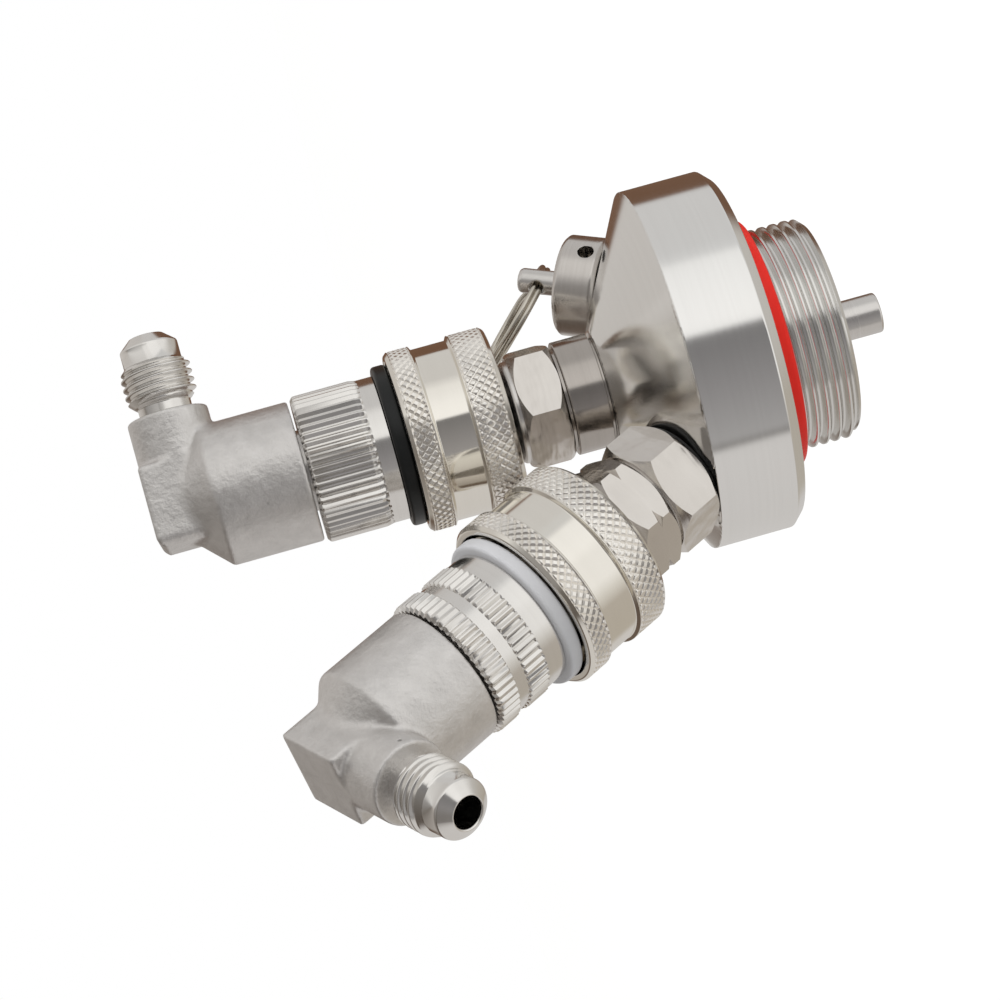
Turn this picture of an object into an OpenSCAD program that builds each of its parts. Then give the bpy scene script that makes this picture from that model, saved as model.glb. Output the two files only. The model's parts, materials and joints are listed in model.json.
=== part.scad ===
// Keg coupler: a screw-in keg cap that carries two ball-lock posts, their quick disconnects with
// swivelling flare elbows, and a pull-ring relief valve.
// The origin is on the cap's axis where the neck thread reaches its full diameter, just above its
// chamfered end. +Z runs up the cap's axis to the liquid post, the gas post leans towards +X and the
// relief valve leans towards -X.

/* [Cap] */
// Diameter of the cap's flange
flange_d = 57.2; // [52:0.1:64]
// Height of the flange, from its underside to the foot of the cone
flange_h = 13.8; // [11:0.1:17]
// Chamfer round the flange's lower edge
flange_chamfer = 1.6; // [0.8:0.1:2.4]
// Height of the cone above the flange
cone_h = 10.3; // [9.4:0.1:11.6]
// Diameter of the flat land on top of the cone
cone_top_d = 18.8; // [18.4:0.1:20]

/* [Neck] */
// Major diameter of the neck thread
neck_d = 35.2; // [33:0.1:38]
// Length of the neck below the flange
neck_len = 12.4; // [10:0.1:16]
// Chamfer at the neck's lower end
neck_chamfer = 0.9; // [0.5:0.1:1.5]
// Bore of the hollow in the neck
neck_bore_d = 24.8; // [22:0.1:27]
// Depth of the hollow, from the neck's lower end
neck_bore_depth = 19.5; // [16:0.1:21]
// Thread relief under the flange: its depth below the major diameter
relief_depth = 1.0; // [0.6:0.1:1.6]
// Thickness of the neck seal
seal_t = 3.0; // [2:0.1:4]
// How far the neck seal stands out past the thread
seal_reach = 1.6; // [0.9:0.1:3.4]
// Outer diameter of the dip-tube stub
stub_d = 6.35; // [5.6:0.05:7]
// Bore of the dip-tube stub
stub_bore_d = 4.6; // [3.4:0.1:4.8]
// How far the stub stands out below the neck
stub_reach = 8.4; // [6:0.1:12]

/* [Ports] */
// Lean of the gas and relief ports from the cap's axis, in degrees
port_tilt = 30.2; // [27:0.1:32]
// Depth below the cone's foot at which the port axes cross the cap's axis
port_drop = 31.9; // [29:0.1:34]
// Depth of the flat seat milled into the cone at each port
port_seat_cut = 0.3; // [0.3:0.05:0.7]
// Thickness of the seal under the gas adapter
port_seal_t = 1.5; // [1:0.1:2]
// Diameter of the thread that holds each fitting in the cap
port_thread_d = 12.0; // [10.5:0.1:13]
// Length of thread below each port's seat
port_thread_len = 9.0; // [7:0.1:10.5]

/* [Posts] */
// Diameter of the round adapter under the liquid post
ring_d = 18.0; // [17:0.1:18.3]
// Height of the round adapter
ring_h = 6.15; // [5:0.05:8]
// Width across the flats of the hexagons
hex_af = 17.46; // [16.8:0.02:18.2]
// Height of each hexagon
hex_h = 7.0; // [6:0.1:9]
// Width of the dark seam between an adapter and its post
seam_h = 0.55; // [0.3:0.05:0.9]
// Turn of the liquid post's hexagon about its axis, in degrees
liquid_hex_turn = 40; // [0:1:60]
// Turn of the gas post's hexagon, in degrees
gas_hex_turn = 36; // [0:1:60]
// Turn of the gas adapter's hexagon, in degrees
gas_adapter_turn = 19; // [0:1:60]
// Diameter of the post's head
post_head_d = 15.24; // [14.8:0.02:15.5]
// Diameter of the waist that the lock balls sit in
post_waist_d = 12.9; // [12.6:0.05:13.2]
// Height of the post above its hexagon
post_h = 19.0; // [17.5:0.1:20]
// Bore of the post
post_bore_d = 10.4; // [9.8:0.05:10.6]

/* [Locking collar] */
// Gap between the hexagon and the collar's mouth
collar_gap = 1.85; // [1.2:0.05:2.6]
// Outer diameter over the two knurled bands
collar_d = 28.6; // [27.6:0.1:31]
// Depth of the polished waist below the knurled bands
collar_waist_depth = 0.63; // [0.3:0.01:0.9]
// Thickness of the collar's wall round its spring
collar_wall = 1.44; // [1.2:0.02:1.8]
// Length of the collar
collar_len = 16.0; // [15.2:0.1:18]
// Width of the lower knurled band, with its chamfered end
band_low = 6.15; // [5:0.05:7]
// Width of the upper knurled band, with its chamfered end
band_high = 4.4; // [3.4:0.05:5.4]
// Travel of the collar as it is pulled back to release
collar_travel = 3.8; // [3.6:0.1:4]
// Diameter of a lock ball
ball_d = 3.97; // [3.8:0.01:4.05]
// Number of lock balls
ball_count = 4; // [3:1:6]

/* [Cap nut and colour ring] */
// Outer diameter of the colour ring
colour_ring_d = 25.34; // [24.6:0.02:25.4]
// Thickness of the colour ring
colour_ring_t = 2.4; // [1.6:0.1:3.2]
// Outer diameter of the fluted cap nut
nut_d = 23.2; // [22.4:0.1:24]
// Height of the cap nut's top face above the post's top
nut_over_post = 14.45; // [14:0.05:16]
// Number of flutes round a cap nut
flute_count = 54; // [40:1:60]
// Depth of a flute
flute_depth = 0.45; // [0.2:0.05:0.6]
// Smooth stretch of the liquid nut next to the colour ring
liquid_nut_plain = 2.6; // [1.6:0.1:4]
// Smooth stretch of the gas nut next to the colour ring
gas_nut_plain = 3.4; // [1.6:0.1:4]
// Width of the smooth groove between the two fluted bands of the gas nut
gas_nut_groove = 1.9; // [1:0.1:3]

/* [Elbow] */
// Gap between the cap nut and the elbow
elbow_gap = 0.46; // [0.3:0.02:0.9]
// Outer diameter of the elbow's barrel
elbow_d = 22.14; // [21:0.02:23.2]
// Length of the elbow's barrel
elbow_barrel = 14.3; // [12:0.1:16]
// Height of the flare axis above the elbow's lower face
flare_height = 18.2; // [17:0.1:21]
// Half width of the elbow's square block
block_half = 6.35; // [5.8:0.05:7]
// Reach of the block behind the swivel axis
block_back = 6.3; // [6:0.1:7.5]
// Reach of the block's round boss towards the flare
block_front = 14.1; // [12.6:0.1:15]
// Turn of the liquid flare about +Z, from +X, in degrees
liquid_elbow_turn = 145.3; // [0:0.1:360]
// Turn of the gas flare about its own axis, in degrees
gas_elbow_turn = 18.1; // [0:0.1:360]

/* [Flare] */
// Major diameter of the flare thread
flare_d = 11.11; // [10.8:0.01:11.4]
// Length of the flare thread
flare_thread = 7.2; // [6:0.1:9]
// Diameter of the plain neck and nose beside the thread
flare_nose_d = 9.1; // [8.4:0.1:9.6]
// Bore of the flare
flare_bore_d = 4.75; // [4.2:0.05:5]

/* [Relief valve] */
// Diameter of the relief valve's housing
relief_d = 16.2; // [15:0.1:17]
// Height of the housing above the cone
relief_h = 6.9; // [6:0.1:9]
// Diameter of the pull stem
stem_d = 4.0; // [3.6:0.1:4.4]
// Reach of the stem above the housing
stem_reach = 7.5; // [6.5:0.1:9]
// Diameter of the vent hole in the housing's wall
vent_d = 2.6; // [2:0.1:3]
// Pull that opens the relief valve
relief_travel = 1.8; // [1:0.1:2]
// Height of the stem's cross hole above the housing
cross_hole_h = 4.1; // [3.4:0.1:4.6]
// Diameter of the cross hole
cross_hole_d = 2.3; // [2.2:0.05:2.6]
// Turn of the cross hole about the stem, in degrees
cross_hole_turn = 100; // [80:1:120]
// Diameter of the pull ring, over its wire
pull_ring_d = 21.0; // [18:0.1:23]
// Diameter of the pull ring's wire
pull_wire_d = 1.0; // [0.7:0.05:1]
// Lean of the pull ring from the stem's axis, in degrees
pull_ring_lean = -60; // [-80:1:-40]

/* [Clearances] */
// Running clearance on the radius between sliding and turning pieces
run_gap = 0.12; // [0.1:0.01:0.2]
// Gap left at the end of a spring, or between two pieces that meet under load
rest_gap = 0.15; // [0.1:0.01:0.3]
// Clearance on the radius between a screwed or pressed pair
thread_gap = 0.04; // [0.02:0.01:0.08]

/* [Hidden] */
$fn = 96;

// Heights on the cap's own axis
z_end = -neck_chamfer;
z_flange = neck_len - neck_chamfer;
z_hollow = z_end + neck_bore_depth;
z_cone = z_flange + flange_h;
z_land = z_cone + cone_h;
z_cross = z_cone - port_drop;
flange_r = flange_d / 2;
cone_fall = cone_h / (flange_r - cone_top_d / 2);

// Distance along a leaning port, from the crossing of the axes to its milled seat
port_reach = (port_drop + flange_r * cone_fall) / (cos(port_tilt) + cone_fall * sin(port_tilt));
port_seat = port_reach - port_seat_cut;
port_tilt_run = 1.33 * port_thread_len;

seat_r = hex_af / 2 + 1.1;
cut_over = 1;

// Post stations, counted from the top face of the post's hexagon
z_liquid_post = z_land + ring_h + seam_h + hex_h;
gas_post_reach = port_seat + port_seal_t + hex_h + seam_h + hex_h;
adapter_thread_d = 14.2;
adapter_bore_r = 2.3;
port_hole_r = 1.9;
stub_shank_r = stub_d / 2 + 0.5;
adapter_thread_len = hex_h - 0.8;
post_head_r = post_head_d / 2;
post_waist_r = post_waist_d / 2;
waist_low = 2.5;
head_start = 8.6;
oring_wire = 1.6;
elbow_oring_wire = 1.15;
post_oring_at = 13.2;
post_top_web = 1.5;
post_foot_r = 8.1;
poppet_tip_t = 1.9;
poppet_hole_r = 3.4;
poppet_len = 4.8;
poppet_low = post_h - poppet_len;

// Disconnect stations, counted from the same face
collar_low = collar_gap;
collar_top = collar_gap + collar_len;
lip_t = 1.15;
lip_top = collar_low + lip_t;
socket_bore_r = post_head_r + run_gap;
socket_r = 10.5;
collar_bore_r = socket_r + run_gap;
collar_mouth_r = collar_d / 2 - collar_wall;
spring_room = collar_mouth_r - socket_r;
collar_land_top = lip_top + rest_gap + collar_travel + 1.5;
ball_r = ball_d / 2;
ball_at = lip_top + ball_r + 0.2;
ball_centre_r = collar_bore_r - run_gap - ball_r;
lip_r = socket_r + 0.49 * spring_room;
pocket_r = lip_r + run_gap;
socket_web = post_h + 1.0;
socket_web_t = 2.2;
valve_hole_r = 3.2;
socket_chamber_r = 7.2;
socket_thread_r = 9.6;
ring_bottom = collar_top;
nut_bottom = ring_bottom + colour_ring_t;
nut_top = post_h + nut_over_post;
socket_neck_len = 6.6;
socket_top = nut_bottom + socket_neck_len;
nut_web_t = 3.4;
nut_web_low = nut_top - nut_web_t;
elbow_face = nut_top + elbow_gap;
spigot_r = 6.4;
elbow_bore_r = 3.2;
flare_neck = 1.6;
flare_nose_len = 2.1;
clip_groove_r = spigot_r - 0.9;
clip_t = 0.9;
clip_gap = 2.4;
clip_seat = nut_web_low - rest_gap - clip_t;
spigot_low = clip_seat - 0.9;
elbow_oring_at = nut_top - 1.5;
valve_disc_at = socket_web + socket_web_t + 1.8;
valve_disc_t = 1.2;
valve_disc_top = valve_disc_at + valve_disc_t;
valve_wire = 0.6;
pin_tip = post_h + 0.25;
pin_r = 2.0;

// Relief valve stations, counted from the port's seat
stem_r = stem_d / 2;
relief_top = relief_h;
stem_tip = relief_top + stem_reach;
relief_roof = 1.5;
relief_bore_r = 4.6;
relief_floor_t = 2.0;
relief_floor = relief_floor_t - port_thread_len;
relief_disc_t = 1.2;
relief_seal_t = 0.9;
relief_wire = 0.7;
cross_hole_at = relief_top + cross_hole_h;

module at_liquid_post() {
    translate([0, 0, z_liquid_post]) children();
}

module at_port(side) {
    translate([0, 0, z_cross]) rotate([0, side * port_tilt, 0]) children();
}

module at_gas_post() {
    at_port(1) translate([0, 0, gas_post_reach]) children();
}

module at_relief_seat() {
    at_port(-1) translate([0, 0, port_seat]) children();
}

module tube(outer, inner, low, high) {
    difference() {
        translate([0, 0, low]) cylinder(r = outer, h = high - low);
        translate([0, 0, low - cut_over]) cylinder(r = inner, h = high - low + 2 * cut_over);
    }
}

// A hexagonal prism whose corners are turned off at both ends
module turned_hex(af, h) {
    corner = af / 2 / cos(30);
    bevel = (corner - af / 2) * 0.62;
    intersection() {
        cylinder(r = corner, h = h, $fn = 6);
        rotate_extrude() polygon([
            [0, 0], [af / 2 - 0.1, 0], [corner, bevel], [corner, h - bevel], [af / 2 - 0.1, h], [0, h]
        ]);
    }
}

// Height of a spring's wire after k turns, with one closed turn at each end
function coil_z(k, turns, length, wire) =
    let (closed = 1.05 * wire, open = (length - wire - 2 * closed) / (turns - 2))
    wire / 2 + (k < 1 ? closed * k
        : k > turns - 1 ? length - wire - closed * (turns - k)
        : closed + open * (k - 1));

// A compression spring: a round wire of eight sides swept along a coil that stands on z = 0
module coil_spring(mean_r, wire, length, turns, steps = 12) {
    sides = 8;
    rings = turns * steps;
    points = [
        for (i = [0 : rings], j = [0 : sides - 1])
            let (a = 360 * i / steps, b = 360 * j / sides, r = mean_r + wire / 2 * cos(b))
            [r * cos(a), r * sin(a), coil_z(i / steps, turns, length, wire) + wire / 2 * sin(b)]
    ];
    skin = [
        for (i = [0 : rings - 1], j = [0 : sides - 1])
            let (p = i * sides + j, q = i * sides + (j + 1) % sides)
            each [[p, q, q + sides], [p, q + sides, p + sides]]
    ];
    first = [for (j = [0 : sides - 1]) sides - 1 - j];
    last = [for (j = [0 : sides - 1]) rings * sides + j];
    polyhedron(points = points, faces = concat(skin, [first, last]), convexity = 10);
}

// Cap and neck

module port_cuts(side) {
    at_port(side) {
        translate([0, 0, port_seat]) cylinder(r = seat_r, h = cone_h);
        translate([0, 0, port_seat - port_thread_len])
            cylinder(d = port_thread_d + 2 * thread_gap, h = port_thread_len + 1);
        translate([0, 0, port_seat - port_thread_len - port_tilt_run])
            cylinder(r = port_hole_r, h = port_tilt_run + 1);
    }
}

module cap_body() {
    neck_r = neck_d / 2;
    relief_r = neck_r - relief_depth;
    edge = flange_r - flange_chamfer;
    color("#c9c5be") difference() {
        rotate_extrude() polygon([
            [0, z_end], [neck_r - neck_chamfer, z_end], [neck_r, 0],
            [neck_r, z_flange - seal_t - relief_depth], [relief_r, z_flange - seal_t],
            [relief_r, z_flange], [edge, z_flange],
            [flange_r, z_flange + flange_chamfer], [flange_r, z_cone], [cone_top_d / 2, z_land], [0, z_land]
        ]);
        translate([0, 0, z_end - 1]) cylinder(d = neck_bore_d, h = neck_bore_depth + 1);
        translate([0, 0, z_land - port_thread_len])
            cylinder(d = port_thread_d + 2 * thread_gap, h = port_thread_len + 1);
        translate([0, 0, z_hollow - 1]) cylinder(r = stub_shank_r + thread_gap, h = z_land - z_hollow);
        port_cuts(1);
        port_cuts(-1);
    }
}

module neck_seal() {
    inner = neck_d / 2 - relief_depth + thread_gap;
    outer = neck_d / 2 + seal_reach;
    soft = min(0.7, seal_t / 3);
    color("#e2231a") rotate_extrude() polygon([
        [inner, z_flange - seal_t], [outer - soft, z_flange - seal_t], [outer, z_flange - seal_t + soft],
        [outer, z_flange - soft], [outer - soft, z_flange], [inner, z_flange]
    ]);
}

// The stub passes up through the cap and is swaged over under the liquid adapter
module dip_tube_stub() {
    head_at = z_land - port_thread_len;
    low = z_end - stub_reach;
    tip = 0.6;
    r = stub_d / 2;
    color("#d0ccc5") rotate_extrude() polygon([
        [stub_bore_d / 2, low], [r - tip, low], [r, low + tip], [r, z_hollow + 0.1],
        [stub_shank_r, z_hollow + 0.1], [stub_shank_r, head_at], [stub_shank_r + 1.1, head_at],
        [stub_shank_r + 1.1, head_at + 1.2], [stub_bore_d / 2, head_at + 1.2]
    ]);
}

// Posts

// A threaded spigot that stands down into the cap and one that stands up into the post
module adapter_bores() {
    length = 2 * hex_h + ring_h + port_thread_len;
    translate([0, 0, -2 * length]) cylinder(r = adapter_bore_r, h = 2 * length + 1);
}

module liquid_adapter() {
    low = -hex_h - seam_h - ring_h;
    foot = low - port_thread_len + 1.2;
    top = -hex_h + adapter_thread_len;
    r = ring_d / 2;
    color("#8f8880") at_liquid_post() difference() {
        rotate_extrude() polygon([
            [0, foot], [port_thread_d / 2, foot], [port_thread_d / 2, low], [r - 0.9, low],
            [r - 0.9, low + 0.5], [r - 0.4, low + 0.5], [r, low + 0.9], [r, low + ring_h - 0.4],
            [r - 0.4, low + ring_h], [r - 0.9, low + ring_h], [r - 0.9, -hex_h],
            [adapter_thread_d / 2, -hex_h], [adapter_thread_d / 2, top], [0, top]
        ]);
        adapter_bores();
    }
}

module gas_port_seal() {
    inner = port_thread_d / 2 + thread_gap;
    color("#1a1a1a") at_port(1) tube(hex_af / 2 + 0.4, inner, port_seat, port_seat + port_seal_t);
}

module gas_adapter() {
    low = -2 * hex_h - seam_h;
    foot = low - port_seal_t - port_thread_len + 0.3;
    color("#cfc8c0") at_gas_post() difference() {
        union() {
            translate([0, 0, low]) rotate([0, 0, gas_adapter_turn]) turned_hex(hex_af, hex_h);
            translate([0, 0, foot]) cylinder(d = port_thread_d, h = low - foot + 1);
            translate([0, 0, -hex_h - seam_h - 1]) cylinder(r = hex_af / 2 - 0.9, h = seam_h + 1);
            translate([0, 0, -hex_h - 1]) cylinder(d = adapter_thread_d, h = adapter_thread_len + 1);
        }
        adapter_bores();
    }
}

// The ball-lock post: a hexagon, a waist for the lock balls and a head with an O-ring groove
module ball_lock_post(turn, notched) {
    groove_r = post_head_r - oring_wire + 0.05;
    groove_half = oring_wire / 2 + 0.15;
    corner = hex_af / 2 / cos(30);
    difference() {
        union() {
            translate([0, 0, -hex_h]) rotate([0, 0, turn]) turned_hex(hex_af, hex_h);
            rotate_extrude() polygon([
                [0, -1], [post_foot_r, -1], [post_foot_r, 0.6], [post_head_r, 1.2],
                [post_waist_r, waist_low], [post_waist_r, head_start - 1.4], [post_head_r, head_start],
                [post_head_r, post_oring_at - groove_half], [groove_r, post_oring_at - groove_half],
                [groove_r, post_oring_at + groove_half], [post_head_r, post_oring_at + groove_half],
                [post_head_r, post_h - 1.2], [post_head_r - 1.2, post_h], [0, post_h]
            ]);
        }
        translate([0, 0, -hex_h - 1])
            cylinder(d = adapter_thread_d + 2 * thread_gap, h = adapter_thread_len + 1.1);
        translate([0, 0, -hex_h]) cylinder(d = post_bore_d, h = hex_h + post_h - post_top_web);
        cylinder(r = poppet_hole_r, h = post_h + 1);
        if (notched)
            translate([0, 0, -hex_h * 0.55]) tube(corner + 2, corner - 0.75, -0.55, 0.55);
    }
}

module liquid_post() {
    color("#a39c93") at_liquid_post() ball_lock_post(liquid_hex_turn, false);
}

module gas_post() {
    color("#cbc4bb") at_gas_post() ball_lock_post(gas_hex_turn, true);
}

module post_oring() {
    ring_wire = oring_wire - 0.05;
    color("#141414") translate([0, 0, post_oring_at])
        rotate_extrude() translate([post_head_r - ring_wire / 2 + 0.05, 0]) circle(d = ring_wire, $fn = 24);
}

module liquid_post_oring() {
    at_liquid_post() post_oring();
}

module gas_post_oring() {
    at_gas_post() post_oring();
}

// The poppet that closes the post, shown pressed open by the pin of the disconnect
module poppet() {
    disc_r = post_bore_d / 2 - run_gap - 0.1;
    tip_r = poppet_hole_r - 0.9;
    color("#b9b2a6") rotate_extrude() polygon([
        [0, poppet_low], [disc_r - 0.5, poppet_low], [disc_r, poppet_low + 0.4], [disc_r, poppet_low + 1.3],
        [tip_r, poppet_low + poppet_tip_t], [tip_r, post_h - 0.2], [tip_r - 0.4, post_h + 0.1],
        [0, post_h + 0.1]
    ]);
}

module poppet_spring() {
    low = adapter_thread_len - hex_h + rest_gap;
    color("#9d9d9d") translate([0, 0, low])
        coil_spring(post_bore_d / 2 - 1.0, 0.7, poppet_low - rest_gap - low, 7);
}

module liquid_poppet() {
    at_liquid_post() poppet();
}

module liquid_poppet_spring() {
    at_liquid_post() poppet_spring();
}

module gas_poppet() {
    at_gas_post() poppet();
}

module gas_poppet_spring() {
    at_gas_post() poppet_spring();
}

// Disconnect

// The socket that slips over the post, with holes for the lock balls and a lip that stops the collar
module socket() {
    color("#bdb8b0") difference() {
        rotate_extrude() polygon([
            [0, collar_low], [lip_r - 0.3, collar_low], [lip_r, collar_low + 0.3], [lip_r, lip_top],
            [socket_r, lip_top], [socket_r, ring_bottom], [socket_thread_r, ring_bottom],
            [socket_thread_r, socket_top], [0, socket_top]
        ]);
        translate([0, 0, collar_low - 1]) cylinder(r = socket_bore_r, h = socket_web - collar_low + 1);
        translate([0, 0, collar_low - 0.01]) cylinder(r1 = socket_bore_r + 0.9, r2 = socket_bore_r, h = 0.9);
        translate([0, 0, socket_web - 1]) cylinder(r = valve_hole_r, h = socket_web_t + 2);
        translate([0, 0, socket_web + socket_web_t]) cylinder(r = socket_chamber_r, h = socket_top);
        for (i = [0 : ball_count - 1])
            rotate([0, 0, 360 * i / ball_count]) translate([0, 0, ball_at]) rotate([0, 90, 0])
                cylinder(r = ball_r + 0.08, h = lip_r + 2);
    }
}

module lock_balls() {
    color("#d8d8d8") for (i = [0 : ball_count - 1])
        rotate([0, 0, 360 * i / ball_count]) translate([ball_centre_r, 0, ball_at])
            sphere(r = ball_r, $fn = 32);
}

// The sprung collar: a land over the balls, a release pocket below it and a spring chamber above it
module locking_collar() {
    r = collar_d / 2;
    waist = r - collar_waist_depth;
    edge = 0.75;
    color("#d9d2c6") rotate_extrude() polygon([
        [pocket_r, collar_low], [r - edge - 0.4, collar_low], [r, collar_low + edge],
        [r, collar_low + band_low - edge / 2], [waist, collar_low + band_low],
        [waist, collar_top - band_high], [r, collar_top - band_high + edge / 2], [r, collar_top - edge],
        [r - edge, collar_top], [collar_mouth_r, collar_top], [collar_mouth_r, collar_land_top],
        [collar_bore_r, collar_land_top], [collar_bore_r, lip_top + rest_gap],
        [pocket_r, lip_top + rest_gap]
    ]);
}

module collar_spring() {
    low = collar_land_top + rest_gap;
    mean_r = (socket_r + collar_mouth_r) / 2;
    color("#9d9d9d") translate([0, 0, low])
        coil_spring(mean_r, 0.466 * spring_room, ring_bottom - rest_gap - low, 4, 18);
}

module colour_ring() {
    r = colour_ring_d / 2;
    inner = socket_thread_r + thread_gap;
    rotate_extrude() polygon([
        [inner, ring_bottom], [r - 0.3, ring_bottom], [r, ring_bottom + 0.3],
        [r, nut_bottom - 0.3], [r - 0.3, nut_bottom], [inner, nut_bottom]
    ]);
}

// One band of flutes: round grooves milled into the rim
module fluted_band(r, low, high) {
    groove_r = PI * r / flute_count * 0.42;
    translate([0, 0, low]) linear_extrude(height = high - low) difference() {
        circle(r = r);
        for (i = [0 : flute_count - 1])
            rotate(360 * i / flute_count) translate([r + groove_r - flute_depth, 0])
                circle(r = groove_r, $fn = 16);
    }
}

module nut_bores() {
    translate([0, 0, nut_bottom - 1])
        cylinder(r = socket_thread_r + thread_gap, h = socket_top - nut_bottom + 1.2);
    translate([0, 0, nut_bottom]) cylinder(r = socket_chamber_r + 1.2, h = nut_web_low - nut_bottom);
    translate([0, 0, nut_web_low - 1]) cylinder(r = spigot_r + run_gap, h = nut_top);
}

module plain_band(r, low, high) {
    translate([0, 0, low]) cylinder(r = r, h = high - low);
}

module liquid_nut() {
    r = nut_d / 2;
    step = nut_bottom + liquid_nut_plain;
    difference() {
        union() {
            plain_band(r - 0.25, nut_bottom, step);
            fluted_band(r, step, nut_top - 0.4);
            translate([0, 0, nut_top - 0.4]) cylinder(r1 = r - 0.1, r2 = r - 0.6, h = 0.4);
        }
        nut_bores();
    }
}

module gas_nut() {
    r = nut_d / 2;
    step = nut_bottom + gas_nut_plain;
    band = (nut_top - step - gas_nut_groove) / 2;
    difference() {
        union() {
            plain_band(r - 0.25, nut_bottom, step);
            fluted_band(r, step, step + band);
            plain_band(r - 0.5, step + band, nut_top - band);
            fluted_band(r, nut_top - band, nut_top - 0.4);
            translate([0, 0, nut_top - 0.4]) cylinder(r1 = r - 0.1, r2 = r - 0.6, h = 0.4);
        }
        nut_bores();
    }
}

// The pin that opens the post's poppet, lifted off its seat in the socket
module valve_pin() {
    disc_r = socket_chamber_r - 1.6;
    color("#c4bdb2") rotate_extrude() polygon([
        [0, pin_tip], [pin_r - 0.4, pin_tip], [pin_r, pin_tip + 0.4], [pin_r, valve_disc_at - 0.6],
        [disc_r - 0.8, valve_disc_at - 0.6],
        [disc_r, valve_disc_at], [disc_r, valve_disc_top], [pin_r, valve_disc_top],
        [pin_r, valve_disc_top + 1.4], [0, valve_disc_top + 1.4]
    ]);
}

module valve_spring() {
    low = valve_disc_top + rest_gap;
    color("#9d9d9d") translate([0, 0, low])
        coil_spring(pin_r + 1.9, valve_wire, spigot_low - rest_gap - low, 3);
}

// Elbow

module round_square(half, r) {
    inset = half - r;
    union() {
        square([2 * half, 2 * inset], center = true);
        square([2 * inset, 2 * half], center = true);
        for (x = [-inset, inset], y = [-inset, inset]) translate([x, y]) circle(r = r, $fn = 32);
    }
}

module along_flare() {
    translate([0, 0, flare_height]) rotate([0, 90, 0]) children();
}

module flare_end() {
    thread_r = flare_d / 2;
    nose_r = flare_nose_d / 2;
    mouth_r = flare_bore_d / 2 + 0.25;
    neck_end = block_front + flare_neck;
    thread_end = neck_end + flare_thread;
    nose_end = thread_end + flare_nose_len;
    rotate_extrude() polygon([
        [0, block_front - 1], [nose_r, block_front - 1], [nose_r, neck_end], [thread_r, neck_end + 0.6],
        [thread_r, thread_end - 0.6], [nose_r, thread_end], [nose_r, nose_end],
        [mouth_r, nose_end + nose_r - mouth_r], [0, nose_end + nose_r - mouth_r]
    ]);
}

// The cast elbow: a turned barrel, a cone, and a square block that runs into a round boss
module elbow() {
    r = elbow_d / 2;
    cone_len = r - block_half + 0.4;
    square_end = block_half + 0.3;
    boss_start = square_end + 1.4;
    bevel = 1.0;
    edge = 0.5;
    spigot_foot = spigot_low - elbow_face;
    clip_foot = clip_seat - elbow_face;
    oring_at = elbow_oring_at - elbow_face;
    groove_half = 0.8;
    difference() {
        union() {
            cylinder(r1 = r - 0.3, r2 = r, h = 0.3);
            translate([0, 0, 0.3]) cylinder(r = r, h = elbow_barrel - 0.3);
            translate([0, 0, elbow_barrel]) cylinder(r1 = r, r2 = block_half - 0.4, h = cone_len);
            along_flare() translate([0, 0, bevel + 0.1 - block_back])
                linear_extrude(height = block_back + square_end - bevel - 0.1) round_square(block_half, 1.0);
            along_flare() hull() {
                translate([0, 0, -block_back])
                    linear_extrude(height = 0.1) round_square(block_half - bevel, 1.0);
                translate([0, 0, bevel - block_back])
                    linear_extrude(height = 0.2) round_square(block_half, 1.0);
            }
            along_flare() hull() {
                translate([0, 0, square_end - 0.2])
                    linear_extrude(height = 0.2) round_square(block_half, 1.0);
                translate([0, 0, boss_start]) cylinder(r = block_half, h = 0.2, $fn = 32);
            }
            along_flare() translate([0, 0, square_end])
                cylinder(r = block_half, h = block_front - square_end - edge);
            along_flare() translate([0, 0, block_front - edge])
                cylinder(r1 = block_half, r2 = block_half - edge, h = edge);
            along_flare() flare_end();
            translate([0, 0, spigot_foot]) cylinder(r = spigot_r, h = 1 - spigot_foot);
        }
        translate([0, 0, spigot_foot - 1]) cylinder(r = elbow_bore_r, h = 1 - spigot_foot + flare_height);
        along_flare() cylinder(d = flare_bore_d, h = 4 * block_front);
        tube(spigot_r + 1, clip_groove_r, clip_foot, clip_foot + clip_t);
        tube(spigot_r + 1, spigot_r - 1.1, oring_at - groove_half, oring_at + groove_half);
    }
}

module elbow_oring() {
    color("#141414") translate([0, 0, elbow_oring_at])
        rotate_extrude() translate([spigot_r - elbow_oring_wire / 2 + 0.05, 0])
            circle(d = elbow_oring_wire, $fn = 24);
}

// The snap ring under the nut's web that keeps the elbow from pulling out
module elbow_clip() {
    side_gap = 0.04;
    color("#8a8a8a") difference() {
        tube(spigot_r + 1.2, clip_groove_r + 0.06, clip_seat + side_gap, clip_seat + clip_t - side_gap);
        translate([0, -clip_gap / 2, clip_seat - clip_t]) cube([2 * spigot_r, clip_gap, 3 * clip_t]);
    }
}

module liquid_socket() {
    at_liquid_post() socket();
}

module liquid_lock_balls() {
    at_liquid_post() lock_balls();
}

module liquid_collar() {
    at_liquid_post() locking_collar();
}

module liquid_collar_spring() {
    at_liquid_post() collar_spring();
}

module liquid_colour_ring() {
    color("#20211f") at_liquid_post() colour_ring();
}

module liquid_cap_nut() {
    color("#b7b1a8") at_liquid_post() liquid_nut();
}

module liquid_valve_pin() {
    at_liquid_post() valve_pin();
}

module liquid_valve_spring() {
    at_liquid_post() valve_spring();
}

module liquid_elbow() {
    color("#a8a29b") at_liquid_post() translate([0, 0, elbow_face])
        rotate([0, 0, liquid_elbow_turn]) elbow();
}

module liquid_elbow_oring() {
    at_liquid_post() elbow_oring();
}

module liquid_elbow_clip() {
    at_liquid_post() elbow_clip();
}

module gas_socket() {
    at_gas_post() socket();
}

module gas_lock_balls() {
    at_gas_post() lock_balls();
}

module gas_collar() {
    at_gas_post() locking_collar();
}

module gas_collar_spring() {
    at_gas_post() collar_spring();
}

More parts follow.
